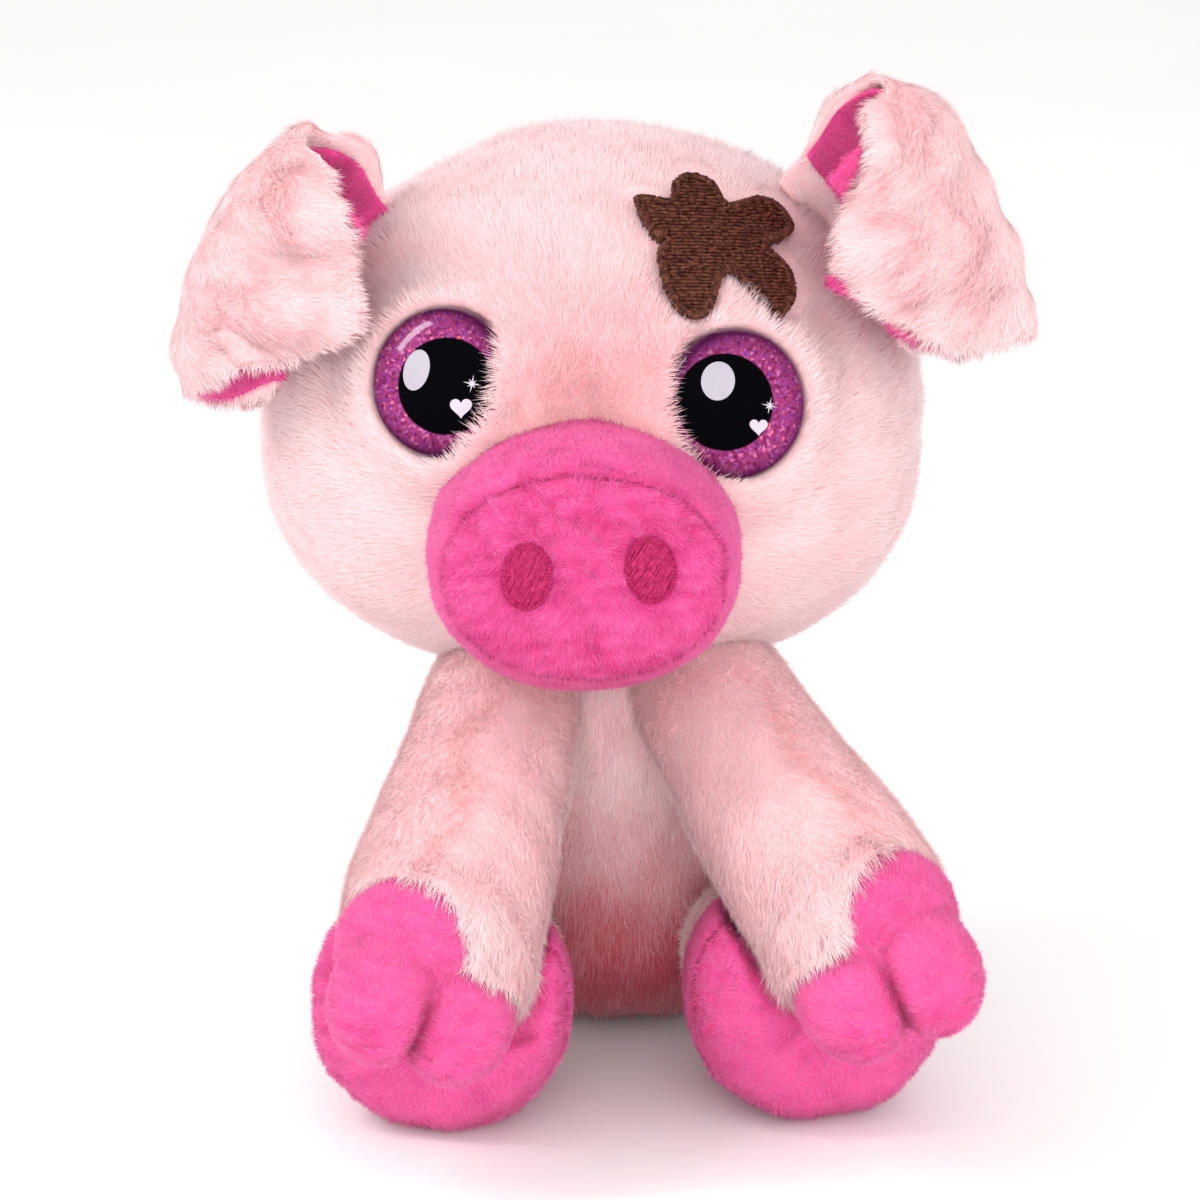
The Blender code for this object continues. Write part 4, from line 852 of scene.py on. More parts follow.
def makeNostril(side):
    x, z, lean = snout["nostrils"][side]
    x, z = x * snout["face"][0], z * snout["face"][1]
    turn = Matrix.Rotation(math.radians(lean), 3, "Y")
    across, rise = turn @ rightward, turn @ up
    halfWidth, halfHeight = snout["nostrilHalf"]

    def onPad(u, v, height=0.0):
        flat = Vector((x, 0, z)) + across * u * halfWidth + rise * v * halfHeight
        dome = snout["nostrilDome"] * max(0, 1 - u * u - v * v)
        return snoutFace(flat.x, flat.z, 0.0002 + dome + height)

    rings = []
    for size, depth in ((1.0, -0.0012), (1.0, 0.0), (0.8, 0.0), (0.55, 0.0), (0.28, 0.0)):
        ring = []
        for step in range(24):
            angle = math.tau * step / 24
            ring.append(onPad(math.cos(angle) * size, math.sin(angle) * size, depth))
        rings.append(ring)
    pad = drawTube(f"nostril_{side}", rings, onPad(0, 0, -0.0014), onPad(0, 0))
    dice = np.random.default_rng(31 + sides[side])
    slant = math.radians(snout["nostrilSlant"][side])
    way = Vector((math.cos(slant), math.sin(slant)))
    over = Vector((-way.y, way.x))
    stitches = []
    steps = int(2 * halfHeight / snout["threadPitch"])
    for step in range(steps):
        offset = -0.97 + 1.94 * (step + 0.5) / steps
        reach = math.sqrt(max(0, 1 - offset * offset)) * 0.96
        pieces = max(1, round(reach * 2 * 0.0042 / 0.0022))
        for part in range(pieces):
            low = -reach + 2 * reach * part / pieces
            high = -reach + 2 * reach * (part + 1) / pieces
            mid = way * (low + high) / 2 + over * (offset + dice.normal() * 0.015)
            begin, end = way * low + over * offset, way * high + over * offset
            first, last = onPad(*begin, 0.0001), onPad(*end, 0.0001)
            middle = onPad(*mid, 0.00012 + abs(dice.normal()) * 0.00005)
            length = (last - first).length * 1.12 + 0.0002
            stitches.append((middle, last - first, front, length, snout["thread"]))
    for step in range(snout["nostrilBorder"]):
        angle = math.tau * step / snout["nostrilBorder"]
        first = onPad(math.cos(angle) * 1.02, math.sin(angle) * 1.02, 0.0001)
        last = onPad(math.cos(angle + 0.05) * 0.84, math.sin(angle + 0.05) * 0.84, 0.0003)
        stitches.append(((first + last) / 2 + front * 0.00012, last - first, front, 0.0011, 0.00040))
    joinTo(pad, sewStitches("nostrilThreads", stitches))
    wear(pad, nostrilThread, "head", f"nostril_{side}")


makeSnout()
for side in sides:
    makeNostril(side)
print("snout made")


eye = {
    "radius": 0.0118, "rim": 0.0014, "height": 0.0066, "back": 0.0010, "segments": 72,
    "rimShape": ((-0.25, 0.96), (0.0, 0.99), (0.3, 1.0), (0.8, 1.0)), "domeSteps": 16,
    # places seen by the camera, from the middle of the eye's seat
    "pupil": {"right": (-0.0002, -0.0007), "left": (-0.0007, 0.0)},
    "pupilRadius": 0.0076,
    "glare": {"right": (-0.0048, 0.0018, 0.0020, 0.0032, -14), "left": (-0.0018, 0.0032, 0.0026, 0.0030, -8)},
    "heart": {"right": (0.0021, -0.0040, 0.0018), "left": (0.0045, -0.0037, 0.0015)},
    "spark": {"right": (0.0038, -0.0004, 0.0014), "left": (0.0062, -0.0005, 0.0013)},
}


def irisFinish(name, side):
    finish, tree, shader = startFinish(name)
    place = addAttribute(tree, "eyePlace", "Vector")
    centre = tree.nodes.new("ShaderNodeVectorMath")
    centre.operation = "SUBTRACT"
    x, y = eye["pupil"][side]
    centre.inputs[1].default_value = (x / eye["pupilRadius"], y / eye["pupilRadius"], 0)
    tree.links.new(place, centre.inputs[0])
    far = tree.nodes.new("ShaderNodeVectorMath")
    far.operation = "LENGTH"
    tree.links.new(centre.outputs["Vector"], far.inputs[0])
    flakes = tree.nodes.new("ShaderNodeTexVoronoi")
    flakes.inputs["Scale"].default_value = 17
    tree.links.new(place, flakes.inputs["Vector"])
    glitter = addRamp(tree, flakes.outputs["Color"], (
        (0.08, (0.13, 0.014, 0.07)), (0.34, (0.24, 0.028, 0.12)), (0.55, (0.34, 0.050, 0.17)),
        (0.70, (0.20, 0.030, 0.22)), (0.84, (0.50, 0.14, 0.30)), (0.95, (0.75, 0.10, 0.18)),
    ))
    # painted shade: the glitter ring darkens towards the dome's edge
    edge = addAttribute(tree, "edge")
    rim = addRamp(tree, edge, ((0.66, (0, 0, 0)), (0.84, (0.40, 0.40, 0.40)), (0.94, (1, 1, 1))))
    dark = tree.nodes.new("ShaderNodeRGB")
    dark.outputs[0].default_value = (0.055, 0.006, 0.040, 1)
    ring = addMix(tree, rim, glitter, dark.outputs[0])
    pupil = addRamp(tree, far.outputs["Value"], ((0.97, (0, 0, 0)), (1.0, (1, 1, 1))))
    black = tree.nodes.new("ShaderNodeRGB")
    black.outputs[0].default_value = (0.002, 0.002, 0.003, 1)
    tree.links.new(addMix(tree, pupil, black.outputs[0], ring), shader.inputs["Base Color"])
    shader.inputs["Roughness"].default_value = 0.12
    shader.inputs["Coat Weight"].default_value = 0.7
    shader.inputs["Coat IOR"].default_value = 1.35
    shader.inputs["Coat Roughness"].default_value = 0.03
    shader.inputs["Specular IOR Level"].default_value = 0.15
    return finish


def plainFinish(name, colour, rough, coat=0.0):
    finish, tree, shader = startFinish(name)
    place = tree.nodes.new("ShaderNodeTexCoord").outputs["Object"]
    cloud = tree.nodes.new("ShaderNodeTexNoise")
    cloud.inputs["Scale"].default_value = 260
    tree.links.new(place, cloud.inputs["Vector"])
    low = tuple(value * 0.93 for value in colour)
    shade = addRamp(tree, cloud.outputs["Fac"], ((0.3, low), (0.7, colour)))
    tree.links.new(shade, shader.inputs["Base Color"])
    shader.inputs["Roughness"].default_value = rough
    shader.inputs["Coat Weight"].default_value = coat
    return finish


def makeEye(side):
    seat, outward = eyes[side]
    turn = outward.to_track_quat("Z", "Y").to_matrix()
    across, rise = turn @ rightward, turn @ up.cross(rightward)
    radius, rim, cap = eye["radius"], eye["rim"], eye["height"] - eye["rim"]

    def ringAt(reach, size):
        return circle(seat + outward * reach, across, rise, size, eye["segments"])

    rings = [ringAt(eye["back"] + rim * share, radius * size) for share, size in eye["rimShape"]]
    for step in range(1, eye["domeSteps"]):
        lift = math.pi / 2 * step / eye["domeSteps"]
        rings.append(ringAt(eye["back"] + rim + cap * math.sin(lift), radius * math.cos(lift)))
    low, high = eye["back"] - rim * 0.4, eye["back"] + eye["height"]
    lens = drawTube(f"eyeLens_{side}", rings, seat + outward * low, seat + outward * high, 0)
    arms = readPoints(lens) - np.array(seat)
    place = np.stack([arms[:, 0], arms @ np.array(sightUp), arms[:, 0] * 0], 1) / eye["pupilRadius"]
    edge = fromEye(side, readPoints(lens))[1] / radius
    marks = lens.data.attributes.new("eyePlace", "FLOAT_VECTOR", "POINT")
    marks.data.foreach_set("vector", place.astype(np.float32).ravel())
    marks = lens.data.attributes.new("edge", "FLOAT", "POINT")
    marks.data.foreach_set("value", edge.astype(np.float32))
    nodes = [f"eye_lens_{side}", f"eye_glitter_{side}"]
    wear(lens, irisFinish(f"iris_{side}", side), "head", nodes)

    def onDome(x, y, height):
        # the dome's point, raised by height, that shows at x, y for the camera
        centre = seat + outward * (eye["back"] + rim)
        half = np.array((radius + height, radius + height, cap + height))
        s, r = (np.array((arm.dot(across), arm.dot(rise), arm.dot(outward))) / half
                for arm in (seat + rightward * x + sightUp * y - centre, -sight))
        a, b, c = r @ r, r @ s, s @ s - 1
        reach = (-b + math.sqrt(max(0, b * b - a * c))) / a
        return seat + rightward * x + sightUp * y - sight * reach

    def makeMark(name, line, finish, height):
        count = len(line)
        centre = sum((Vector(point) for point in line), Vector((0, 0))) / count
        rings = [[onDome(*centre.lerp(Vector(point), size), height) for point in line]
                 for size in (1.0, 0.66, 0.33)]
        mark = drawTube(name, rings, None, onDome(*centre, height), 0)
        if mark.data.polygons[0].normal.dot(outward) < 0:
            mark.data.flip_normals()
        mark.data.materials.append(finish)
        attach(mark, "head")

    x, y, halfWidth, halfHeight, lean = eye["glare"][side]
    spin = Matrix.Rotation(math.radians(lean), 2)
    line = []
    for angle in np.linspace(0, math.tau, 40, endpoint=False):
        point = spin @ Vector((halfWidth * math.cos(angle), halfHeight * math.sin(angle)))
        line.append((x + point.x, y + point.y))
    makeMark(f"eyeGlare_{side}", line, glareFinish, 0.00004)
    x, y, size = eye["heart"][side]
    line = []
    for a in np.linspace(0, math.tau, 48, endpoint=False):
        lobes = 13 * math.cos(a) - 5 * math.cos(2 * a) - 2 * math.cos(3 * a) - math.cos(4 * a)
        line.append((x + math.sin(a) ** 3 * size * 0.95, y + lobes / 17 * size))
    makeMark(f"eyeHeart_{side}", line, sparkFinish, 0.00005)
    x, y, size = eye["spark"][side]
    line = []
    for k in range(16):
        reach = size * ((1.0 if k % 4 == 0 else 0.62) if k % 2 == 0 else 0.24)
        angle = math.tau * k / 16 + 0.2
        line.append((x + reach * math.sin(angle), y + reach * math.cos(angle)))
    makeMark(f"eyeSpark_{side}", line, sparkFinish, 0.00006)


glareFinish = plainFinish("glareGrey", (0.47, 0.44, 0.50), 0.3, 1.0)
sparkFinish = plainFinish("sparkWhite", (0.62, 0.55, 0.64), 0.3, 1.0)
washerFinish = plainFinish("washerPlastic", (0.80, 0.80, 0.80), 0.45)
for side in sides:
    makeEye(side)
    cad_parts[f"eye_washer_{side}"].data.materials.clear()
    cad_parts[f"eye_washer_{side}"].data.materials.append(washerFinish)
print("eyes made")


torso = {
    "half": (0.0330, 0.0295), "height": 0.0700, "hip": 0.0180, "inset": 0.0011, "segments": 48,
    "lump": (0.0003, 0.016, 42), "underSteps": 9, "sideSteps": 14,
    "taper": ((0.0, 1.0), (0.2, 0.985), (0.4, 0.92), (0.6, 0.82), (0.78, 0.71), (0.9, 0.56), (0.97, 0.34)),
    "pile": longPile | {"perMm2": 9, "width": 0.00017, "seed": 41},
}


def makeTorso():
    inset = torso["inset"]

    def ringAt(level, spread):
        half = [(size - inset) * spread for size in torso["half"]]
        return oval(up * level, rightward, front, *half, 2, torso["segments"])

    rings = []
    for step in range(1, torso["underSteps"]):
        lift = -math.pi / 2 + math.pi / 2 * step / torso["underSteps"]
        level = max(0.0012, torso["hip"] + (torso["hip"] - 0.0006) * math.sin(lift))
        rings.append(ringAt(level, math.cos(lift) ** 0.85))
    for step in range(torso["sideSteps"]):
        share = 0.97 * step / (torso["sideSteps"] - 1)
        level = torso["hip"] + (torso["height"] - inset - torso["hip"]) * share
        rings.append(ringAt(level, readShares(torso["taper"], share)))
    item = drawTube("torsoSkin", rings, up * 0.0012, up * (torso["height"] - inset))
    lump(item, *torso["lump"])

    def thick(spots):
        return (spots[:, 2] > 0.0016) * 1.0 * (1 - 0.3 * softStep(-0.005, 0.02, spots[:, 1]))

    def tone(spots):
        # painted shade and painted pink light reflected from the feet: it is deepest low down between the
        # forelegs
        low = softStep(0.046, 0.012, spots[:, 2]) * softStep(0.0, -0.015, spots[:, 1])
        return 0.12 + 0.85 * low + 0.06 * swirl(spots, 0.010, 43)[:, 0]

    growPile(item, torso["pile"], layAll((0, 0, 0), 1), thick, tone)
    wear(item, bellyPileWithPaintedShade, "torso", ["torso_skin", "torso_filling", "pellet_pouch"])


makeTorso()
print("torso made")


# each ear is a lined sheet folded forward; its rows run from the seam over the fold to the free edge
# and hold, from top to bottom, how far across and up the camera sees a place and how far forward it
# lies, in mm
ear = {
    "rows": {
        "right": (
            ((-33.9, 65.0, 7), (-40.8, 59.5, 7), (-47.0, 52.0, 8), (-50.4, 43.2, 11), (-50.9, 34.6, 15)),
            ((-37.4, 72.3, 7), (-47.2, 65.6, 7), (-54.1, 56.8, 7), (-58.4, 45.6, 9), (-57.6, 32.0, 12)),
            ((-45.4, 75.2, 14), (-56.6, 67.2, 15), (-63.0, 55.2, 15), (-66.7, 43.2, 14), (-65.9, 32.6, 13)),
            ((-47.7, 74.2, 21), (-56.0, 66.2, 23), (-62.4, 54.1, 24), (-65.6, 42.4, 22), (-64.5, 34.2, 18)),
            ((-46.7, 73.3, 27), (-48.8, 64.0, 31), (-52.5, 53.1, 31), (-56.0, 44.0, 29), (-59.2, 36.5, 24)),
            ((-44.8, 72.0, 30), (-41.6, 63.2, 35), (-39.2, 53.1, 37), (-38.7, 43.2, 37), (-50.2, 38.1, 31)),
        ),
        "left": (
            ((31.4, 70.7, 7), (36.5, 63.7, 7), (41.0, 56.0, 8), (44.8, 48.0, 10), (48.8, 40.8, 13)),
            ((36.8, 79.4, 7), (44.2, 71.7, 7), (50.4, 61.6, 7), (56.0, 51.2, 8), (57.9, 40.0, 9)),
            ((42.6, 83.4, 13), (52.8, 79.5, 14), (60.2, 67.5, 14), (65.4, 54.7, 14), (68.3, 43.5, 13)),
            ((45.8, 82.4, 20), (53.1, 77.8, 22), (59.5, 66.2, 22), (65.0, 53.4, 20), (66.7, 42.2, 17)),
            ((44.5, 80.3, 26), (48.8, 72.0, 30), (50.9, 60.0, 32), (54.1, 49.6, 30), (60.2, 40.0, 23)),
            ((42.6, 79.5, 29), (43.5, 70.4, 35), (38.1, 59.2, 38), (41.0, 49.3, 36), (55.4, 40.3, 28)),
        ),
    },
    # dents and swellings of the flap: place along, place across, spread of each, height in m
    "folds": {
        "right": (
            (0.86, 0.45, 0.20, 0.060, -0.0034), (0.84, 0.70, 0.16, 0.13, 0.0026),
            (0.84, 0.22, 0.16, 0.12, 0.0018), (0.70, 0.86, 0.10, 0.05, -0.0016),
        ),
        "left": (
            (0.88, 0.44, 0.18, 0.060, -0.0030), (0.86, 0.64, 0.16, 0.12, 0.0024),
            (0.80, 0.22, 0.16, 0.10, 0.0016), (0.72, 0.82, 0.12, 0.05, -0.0014),
        ),
    },
    # where the lining shows beyond the outer cloth's free edge: place across, spread, reach
    "peeks": {
        "right": ((0.34, 0.10, 0.065),),
        "left": ((0.27, 0.12, 0.150), (0.74, 0.06, 0.090), (0.92, 0.05, 0.090)),
    },
    "tuck": 0.005, "rest": 0.0040, "cloth": 0.0016, "lining": 0.0010, "gap": 0.0019,
    # the pale rim left free by the lining, at the free edge, the upper and lower edges and the seam
    "margin": {"right": (0.035, 0.040, 0.012, 0), "left": (0.035, 0.022, 0.020, 0.045)},
    "steps": 64, "columns": 36,
    "pile": longPile | {
        "length": 0.0029, "lift": 0.24, "loose": 0.08, "tuft": 0.0040, "stray": 0.30, "fleck": 0.16,
        "relief": 0.12,
    },
    "liningPile": shortPile | {"perMm2": 12, "length": 0.0015, "lift": 0.36, "loose": 0.16, "tuft": 0.004},
}


def smoothRows(rows, count):
    # count rows on the smooth curve through the given ones
    rows = np.array(rows, float)
    longer = np.concatenate([2 * rows[:1] - rows[1:2], rows, 2 * rows[-1:] - rows[-2:-1]])
    places = np.linspace(0, len(rows) - 1, count)
    first = np.minimum(places.astype(int), len(rows) - 2)
    share = (places - first).reshape(-1, *[1] * (rows.ndim - 1))
    a, b, c, d = (longer[first + k] for k in range(4))
    return b + share * 0.5 * (c - a + share * (2 * a - 5 * b + 4 * c - d + share * (3 * (b - c) + d - a)))


def seenPoints(seen):
    # the points at a depth forward that the camera sees at across and rise
    start = np.array(eyePoint)
    flat = seen[..., :1] * np.array(rightward) + seen[..., 1:2] * np.array(sightUp)
    rays = np.array(camera["aim"]) + flat - start
    return start + rays * ((-seen[..., 2:] - start[1]) / rays[..., 1:2])


def earSheet(side):
    rows = np.array(ear["rows"][side]) * 0.001
    across = np.stack([smoothRows(row, ear["columns"] + 1) for row in rows])
    seen = smoothRows(across, ear["steps"] + 1)
    shares = [np.linspace(0, 1, ear[count] + 1) for count in ("steps", "columns")]
    along, over = np.meshgrid(*shares, indexing="ij")
    for s, t, spreadS, spreadT, height in ear["folds"][side]:
        seen[..., 2] += height * np.exp(-((along - s) / spreadS) ** 2 - ((over - t) / spreadT) ** 2)
    middle, half = np.array(head["centre"]), np.array(head["half"])
    for _ in range(3):
        # the flap lies on the head
        grid = seenPoints(seen)
        share = (grid - middle) / half
        bulge = half[1] * np.sqrt(np.maximum(0, 1 - share[..., 0] ** 2 - share[..., 2] ** 2))
        resting = (bulge + ear["rest"]) * (bulge > 0) * softStep(0.50, 0.62, along)
        seen[..., 2] = np.maximum(seen[..., 2], resting)
    grid = seenPoints(seen)
    tucked = (middle - grid[0]) * np.array((1, 0, 1))
    grid = np.concatenate([grid[:1] + unit(tucked)[None] * ear["tuck"], grid])
    facing = np.cross(np.gradient(grid, axis=0), np.gradient(grid, axis=1)).reshape(-1, 3)
    facing = unit(facing).reshape(grid.shape)
    if facing[ear["steps"] // 4].mean(0) @ np.array(front) < 0:
        facing = -facing
    return grid, facing


def onSheet(grid, s, t):
    # the sheet at shares s along and t across it, carried on straight past its ends
    steps, columns = grid.shape[0] - 1, grid.shape[1] - 1
    row = np.clip((s * steps).astype(int), 0, steps - 1)
    column = np.clip((t * columns).astype(int), 0, columns - 1)
    a, b = (s * steps - row)[:, None], (t * columns - column)[:, None]
    near = grid[row, column] * (1 - b) + grid[row, column + 1] * b
    far = grid[row + 1, column] * (1 - b) + grid[row + 1, column + 1] * b
    return near * (1 - a) + far * a


def makeEarCloth(name, sheet, offset, thickness, margin=(0, 0, 0, 0), peeks=()):
    grid, facing = sheet
    bpy.ops.object.select_all(action="DESELECT")
    bpy.ops.mesh.primitive_grid_add(x_subdivisions=ear["columns"], y_subdivisions=ear["steps"], size=2)
    item = bpy.context.object
    item.name = item.data.name = name
    flat = (readPoints(item)[:, :2] + 1) / 2
    over = margin[1] + flat[:, 0] * (1 - margin[1] - margin[2])
    along = margin[3] + flat[:, 1] * (1 - margin[0] - margin[3])
    for place, spread, reach in peeks:
        along += reach * softStep(0.85, 1, flat[:, 1]) * np.exp(-((over - place) / spread) ** 4)
    placePoints(item, onSheet(grid, along, over) + onSheet(facing, along, over) * offset)
    finishWith(item, "SOLIDIFY", thickness=thickness, offset=0)
    finishWith(item, "SUBSURF", levels=1, render_levels=1)
    faceOutward(item)
    bpy.ops.object.shade_smooth()
    return item


def makeEar(side):
    headMiddle, headHalf = np.array(head["centre"]), np.array(head["half"])
    sheet = earSheet(side)
    grid, facing = sheet
    outer = makeEarCloth(f"earOuter_{side}", sheet, 0, ear["cloth"])
    lump(outer, 0.0005, 0.012, 52 + sides[side])
    margin, peeks = ear["margin"][side], ear["peeks"][side]
    lining = makeEarCloth(f"earLining_{side}", sheet, ear["gap"], ear["lining"], margin, peeks)
    lump(lining, 0.0003, 0.012, 55 + sides[side])
    steps, columns = grid.shape[:2]
    forth = unit(np.gradient(grid, axis=0).reshape(-1, 3))
    aside = unit(np.gradient(grid, axis=1).reshape(-1, 3))
    points, faces = grid.reshape(-1, 3), facing.reshape(-1, 3)
    finder = KDTree(len(points))
    for i, point in enumerate(points):
        finder.insert(point, i)
    finder.balance()

    def where(spots):
        # the nearest place of the sheet, its shares along and across, and how far to the lining's side of it
        nearest = np.array([finder.find(spot)[1] for spot in spots])
        height = ((spots - points[nearest]) * faces[nearest]).sum(1)
        return nearest, nearest // columns / (steps - 1), nearest % columns / (columns - 1), height

    def outsideHead(spots):
        return (((spots - headMiddle) / headHalf) ** 2).sum(1) > 1

    def outerThick(spots):
        _, along, over, height = where(spots)
        end, upper, lower, seam = margin
        rim = (over < upper * 1.2) | (1 - over < lower * 1.2) | (along > 1 - end * 1.3) | (along < seam * 1.2)
        return ((height < 0.0002) | rim) & outsideHead(spots)

    def liningThick(spots):
        _, along, _, height = where(spots)
        return ((height > ear["gap"]) | (along > 0.97)) & outsideHead(spots)

    def comb(spots, outward):
        nearest, along, over, _ = where(spots)
        rim = softStep(0.06, 0.0, over) * (along < 0.6)
        lean = (1 - softStep(0.52, 0.70, along) + 1.2 * softStep(0.85, 1.0, over)) * (1 - rim)
        run = 0.25 + 0.75 * softStep(0.52, 0.70, along) + rim
        return unit(forth[nearest] * run[:, None] + aside[nearest] * lean[:, None] + np.array((0, 0, -0.25)))

    def tone(spots):
        # the middle of the flap is ruffled and shows its roots
        _, along, over, _ = where(spots)
        ruffled = softStep(0.52, 0.75, along) * softStep(0.0, 0.25, np.minimum(over, 1 - over))
        ruffled *= softStep(-0.5, 0.5, swirl(spots, 0.010, 57)[:, 0])
        return 0.06 + ruffled * (0.30 + 0.26 * swirl(spots, 0.0016, 58)[:, 0])

    def stand(spots):
        _, along, over, _ = where(spots)
        flap = softStep(0.55, 0.70, along) * softStep(0.97, 0.88, along)
        flap *= softStep(0.0, 0.2, np.minimum(over, 1 - over))
        return 0.10 * flap - 0.13 * (1 - softStep(0.50, 0.62, along))

    def liningTone(spots):
        return 0.3 + 0.12 * swirl(spots, 0.007, 58)[:, 0]

    growPile(outer, ear["pile"] | {"seed": 51 + sides[side]}, comb, outerThick, tone, None, stand)
    wear(outer, palePile, f"ear_{side}", f"ear_outer_{side}")
    growPile(lining, ear["liningPile"] | {"seed": 61 + sides[side]}, comb, liningThick, liningTone)
    wear(lining, hotPile, f"ear_{side}", f"ear_lining_{side}")


for side in sides:
    makeEar(side)
print("ears made")


foreleg = {
    "radius": 0.0160, "length": 0.0780, "rootHeight": 0.0620, "rootForward": 0.0035,
    "spread": {"right": 0.0162, "left": 0.0085},
    "splay": {"right": 9.5, "left": 22}, "drop": {"right": 22, "left": 20},
    "taper": ((0.03, 0.50), (0.1, 0.76), (0.2, 0.85), (0.35, 0.89), (0.55, 0.94), (0.75, 1.0), (0.9, 1.02)),
    "wrist": 0.98, "inset": 0.0011, "segments": 40, "hem": 0.0115, "hemGrow": 0.0010,
    "pile": longPile | {"perMm2": 11, "length": 0.0026, "tuft": 0.005, "stray": 0.25},
}
hoof = {
    "drop": 30, "roll": 29, "reach": 0.0122, "spread": 0.0058, "lead": 0.0005,
    "half": (0.0090, 0.0098, 0.0115), "cuff": 0.0135, "inset": 0.0006, "voxel": 0.0006, "cleft": 0.0016,
    "cuffShape": ((0.02, 0.955), (0.08, 0.995), (0.2, 0.99), (0.45, 0.93), (0.75, 0.74), (0.93, 0.42)),
    "pile": shortPile,
}


def forelegFrame(side):
    splay, drop = math.radians(foreleg["splay"][side]), math.radians(foreleg["drop"][side])
    root = Vector((sides[side] * foreleg["spread"][side], -foreleg["rootForward"], foreleg["rootHeight"]))
    level = Vector((sides[side] * math.sin(splay) * math.cos(drop), -math.cos(splay) * math.cos(drop), 0))
    heading = level - up * math.sin(drop)
    across = heading.cross(up).normalized()
    return root, heading, across, across.cross(heading)


def makeForeleg(side):
    root, heading, across, rise = forelegFrame(side)
    length, inset = foreleg["length"], foreleg["inset"]
    rings = []
    for step in range(18):
        share = 0.03 + 0.95 * step / 17
        radius = foreleg["radius"] * readShares(foreleg["taper"], share) - inset
        centre = root + heading * length * share
        rings.append(circle(centre, across, rise, radius, foreleg["segments"]))
    wrist = foreleg["radius"] * foreleg["wrist"] - inset
    rings.append(circle(root + heading * length, across, rise, wrist - 0.0006, foreleg["segments"]))
    low, high = root + heading * 0.001, root + heading * (length + 0.0006)
    sleeve = drawTube(f"forelegSleeve_{side}", rings, low, high)
    lump(sleeve, 0.0004, 0.015, 72 + sides[side])
    start, ahead, over = np.array(root), np.array(heading), np.array(rise)
    splay = math.radians(foreleg["splay"][side])
    drop, roll = math.radians(hoof["drop"]), math.radians(hoof["roll"])
    level = Vector((sides[side] * math.sin(splay), -math.cos(splay), 0))
    point = level * math.cos(drop) - up * math.sin(drop)
    outward = across * math.copysign(1, across.x * sides[side])
    spread = outward * math.cos(roll) + up * math.sin(roll)
    spread = (spread - point * spread.dot(point)).normalized()
    thickWay = point.cross(spread)
    wrist = foreleg["radius"] * foreleg["wrist"] - hoof["inset"]
    first = length + 0.0004
    rings = []
    for place, size in hoof["cuffShape"]:
        centre = root + heading * (first + hoof["cuff"] * place)
        rings.append(circle(centre, across, rise, wrist * size, 32))
    low, high = root + heading * first, root + heading * (first + hoof["cuff"])
    item = drawTube(f"hoofSkin_{side}", rings, low, high)
    middle = root + heading * first + point * hoof["reach"]
    lobes = []
    for turn in (-1, 1):
        centre = middle + spread * hoof["spread"] * turn + point * hoof["lead"] * turn
        bpy.ops.object.select_all(action="DESELECT")
        bpy.ops.mesh.primitive_uv_sphere_add(segments=32, ring_count=20, radius=1)
        lobe = bpy.context.object
        half = [size - hoof["inset"] for size in hoof["half"]]
        ways = np.array([way * size for way, size in zip((spread, thickWay, point), half)])
        placePoints(lobe, np.array(centre) + readPoints(lobe) @ ways)
        lobes.append(lobe)
    joinTo(item, *lobes)
    finishWith(item, "REMESH", mode="VOXEL", voxel_size=hoof["voxel"])
    finishWith(item, "SMOOTH", factor=0.5, iterations=4)
    spots = readPoints(item)
    arm = spots - np.array(middle)
    beside = np.abs(arm @ np.array(spread))
    cleft = np.exp(-(beside / 0.0011) ** 2) * softStep(-0.001, 0.006, arm @ np.array(point))
    arm[:] = unit(arm)
    placePoints(item, spots - arm * (cleft * hoof["cleft"])[:, None])
    takeInHand(item)
    bpy.ops.object.shade_smooth()

    # the hem is drawn forward over the hoof's inner side and lies on it
    spots = readPoints(sleeve)
    along = (spots - start) @ ahead
    arm = spots - start - along[:, None] * ahead
    flat = unit(arm)
    inner = unit(np.array([np.array(across) * math.copysign(1, -across.x * sides[side]) + over * 0.35]))[0]
    hem = softStep(length - 0.012, length, along) * foreleg["hem"] * (0.5 + 0.5 * flat @ inner) ** 3
    spots += ahead * hem[:, None]
    for i in np.nonzero(((arm * flat).sum(1) > foreleg["radius"] * 0.8) & (along + hem > length + 0.0012))[0]:
        hit, place, _, _ = item.ray_cast(Vector(spots[i] + flat[i] * 0.004), Vector(-flat[i]), distance=0.012)
        if hit:
            spots[i] = np.array(place) + flat[i] * foreleg["hemGrow"]
    placePoints(sleeve, spots)

    def thick(spots):
        along = (spots - start) @ ahead
        arm = spots - start
        radial = np.linalg.norm(arm - (arm @ ahead)[:, None] * ahead, axis=1)
        return (along > 0.008) * 1.0 * ((along < length - 0.002) | (radial > foreleg["radius"] * 0.6))

    def parting(spots):
        # a rough, darker parting runs down the front of the sleeve
        arm = spots - start
        along = arm @ ahead
        sideways = arm @ np.array(across) * math.copysign(1, across.x * sides[side])
        wander = -0.001 + 0.0016 * np.sin(along * 190 + sides[side])
        line = np.exp(-((sideways - wander) / 0.0022) ** 2) * softStep(0.02, 0.032, along)
        shoulder = np.exp(-((along - 0.024) / 0.006) ** 2) * softStep(0.006, -0.012, sideways) * 0.8
        return np.maximum(line, shoulder) * (arm @ over > 0)

    def tone(spots):
        rough = parting(spots) * (0.32 + 0.26 * swirl(spots, 0.0018, 75)[:, 0])
        return 0.10 + rough + 0.08 * swirl(spots, 0.007, 73)[:, 0]

    def stand(spots):
        hem = softStep(length - 0.004, length + 0.002, (spots - start) @ ahead)
        return 0.10 * parting(spots) + 0.10 * hem

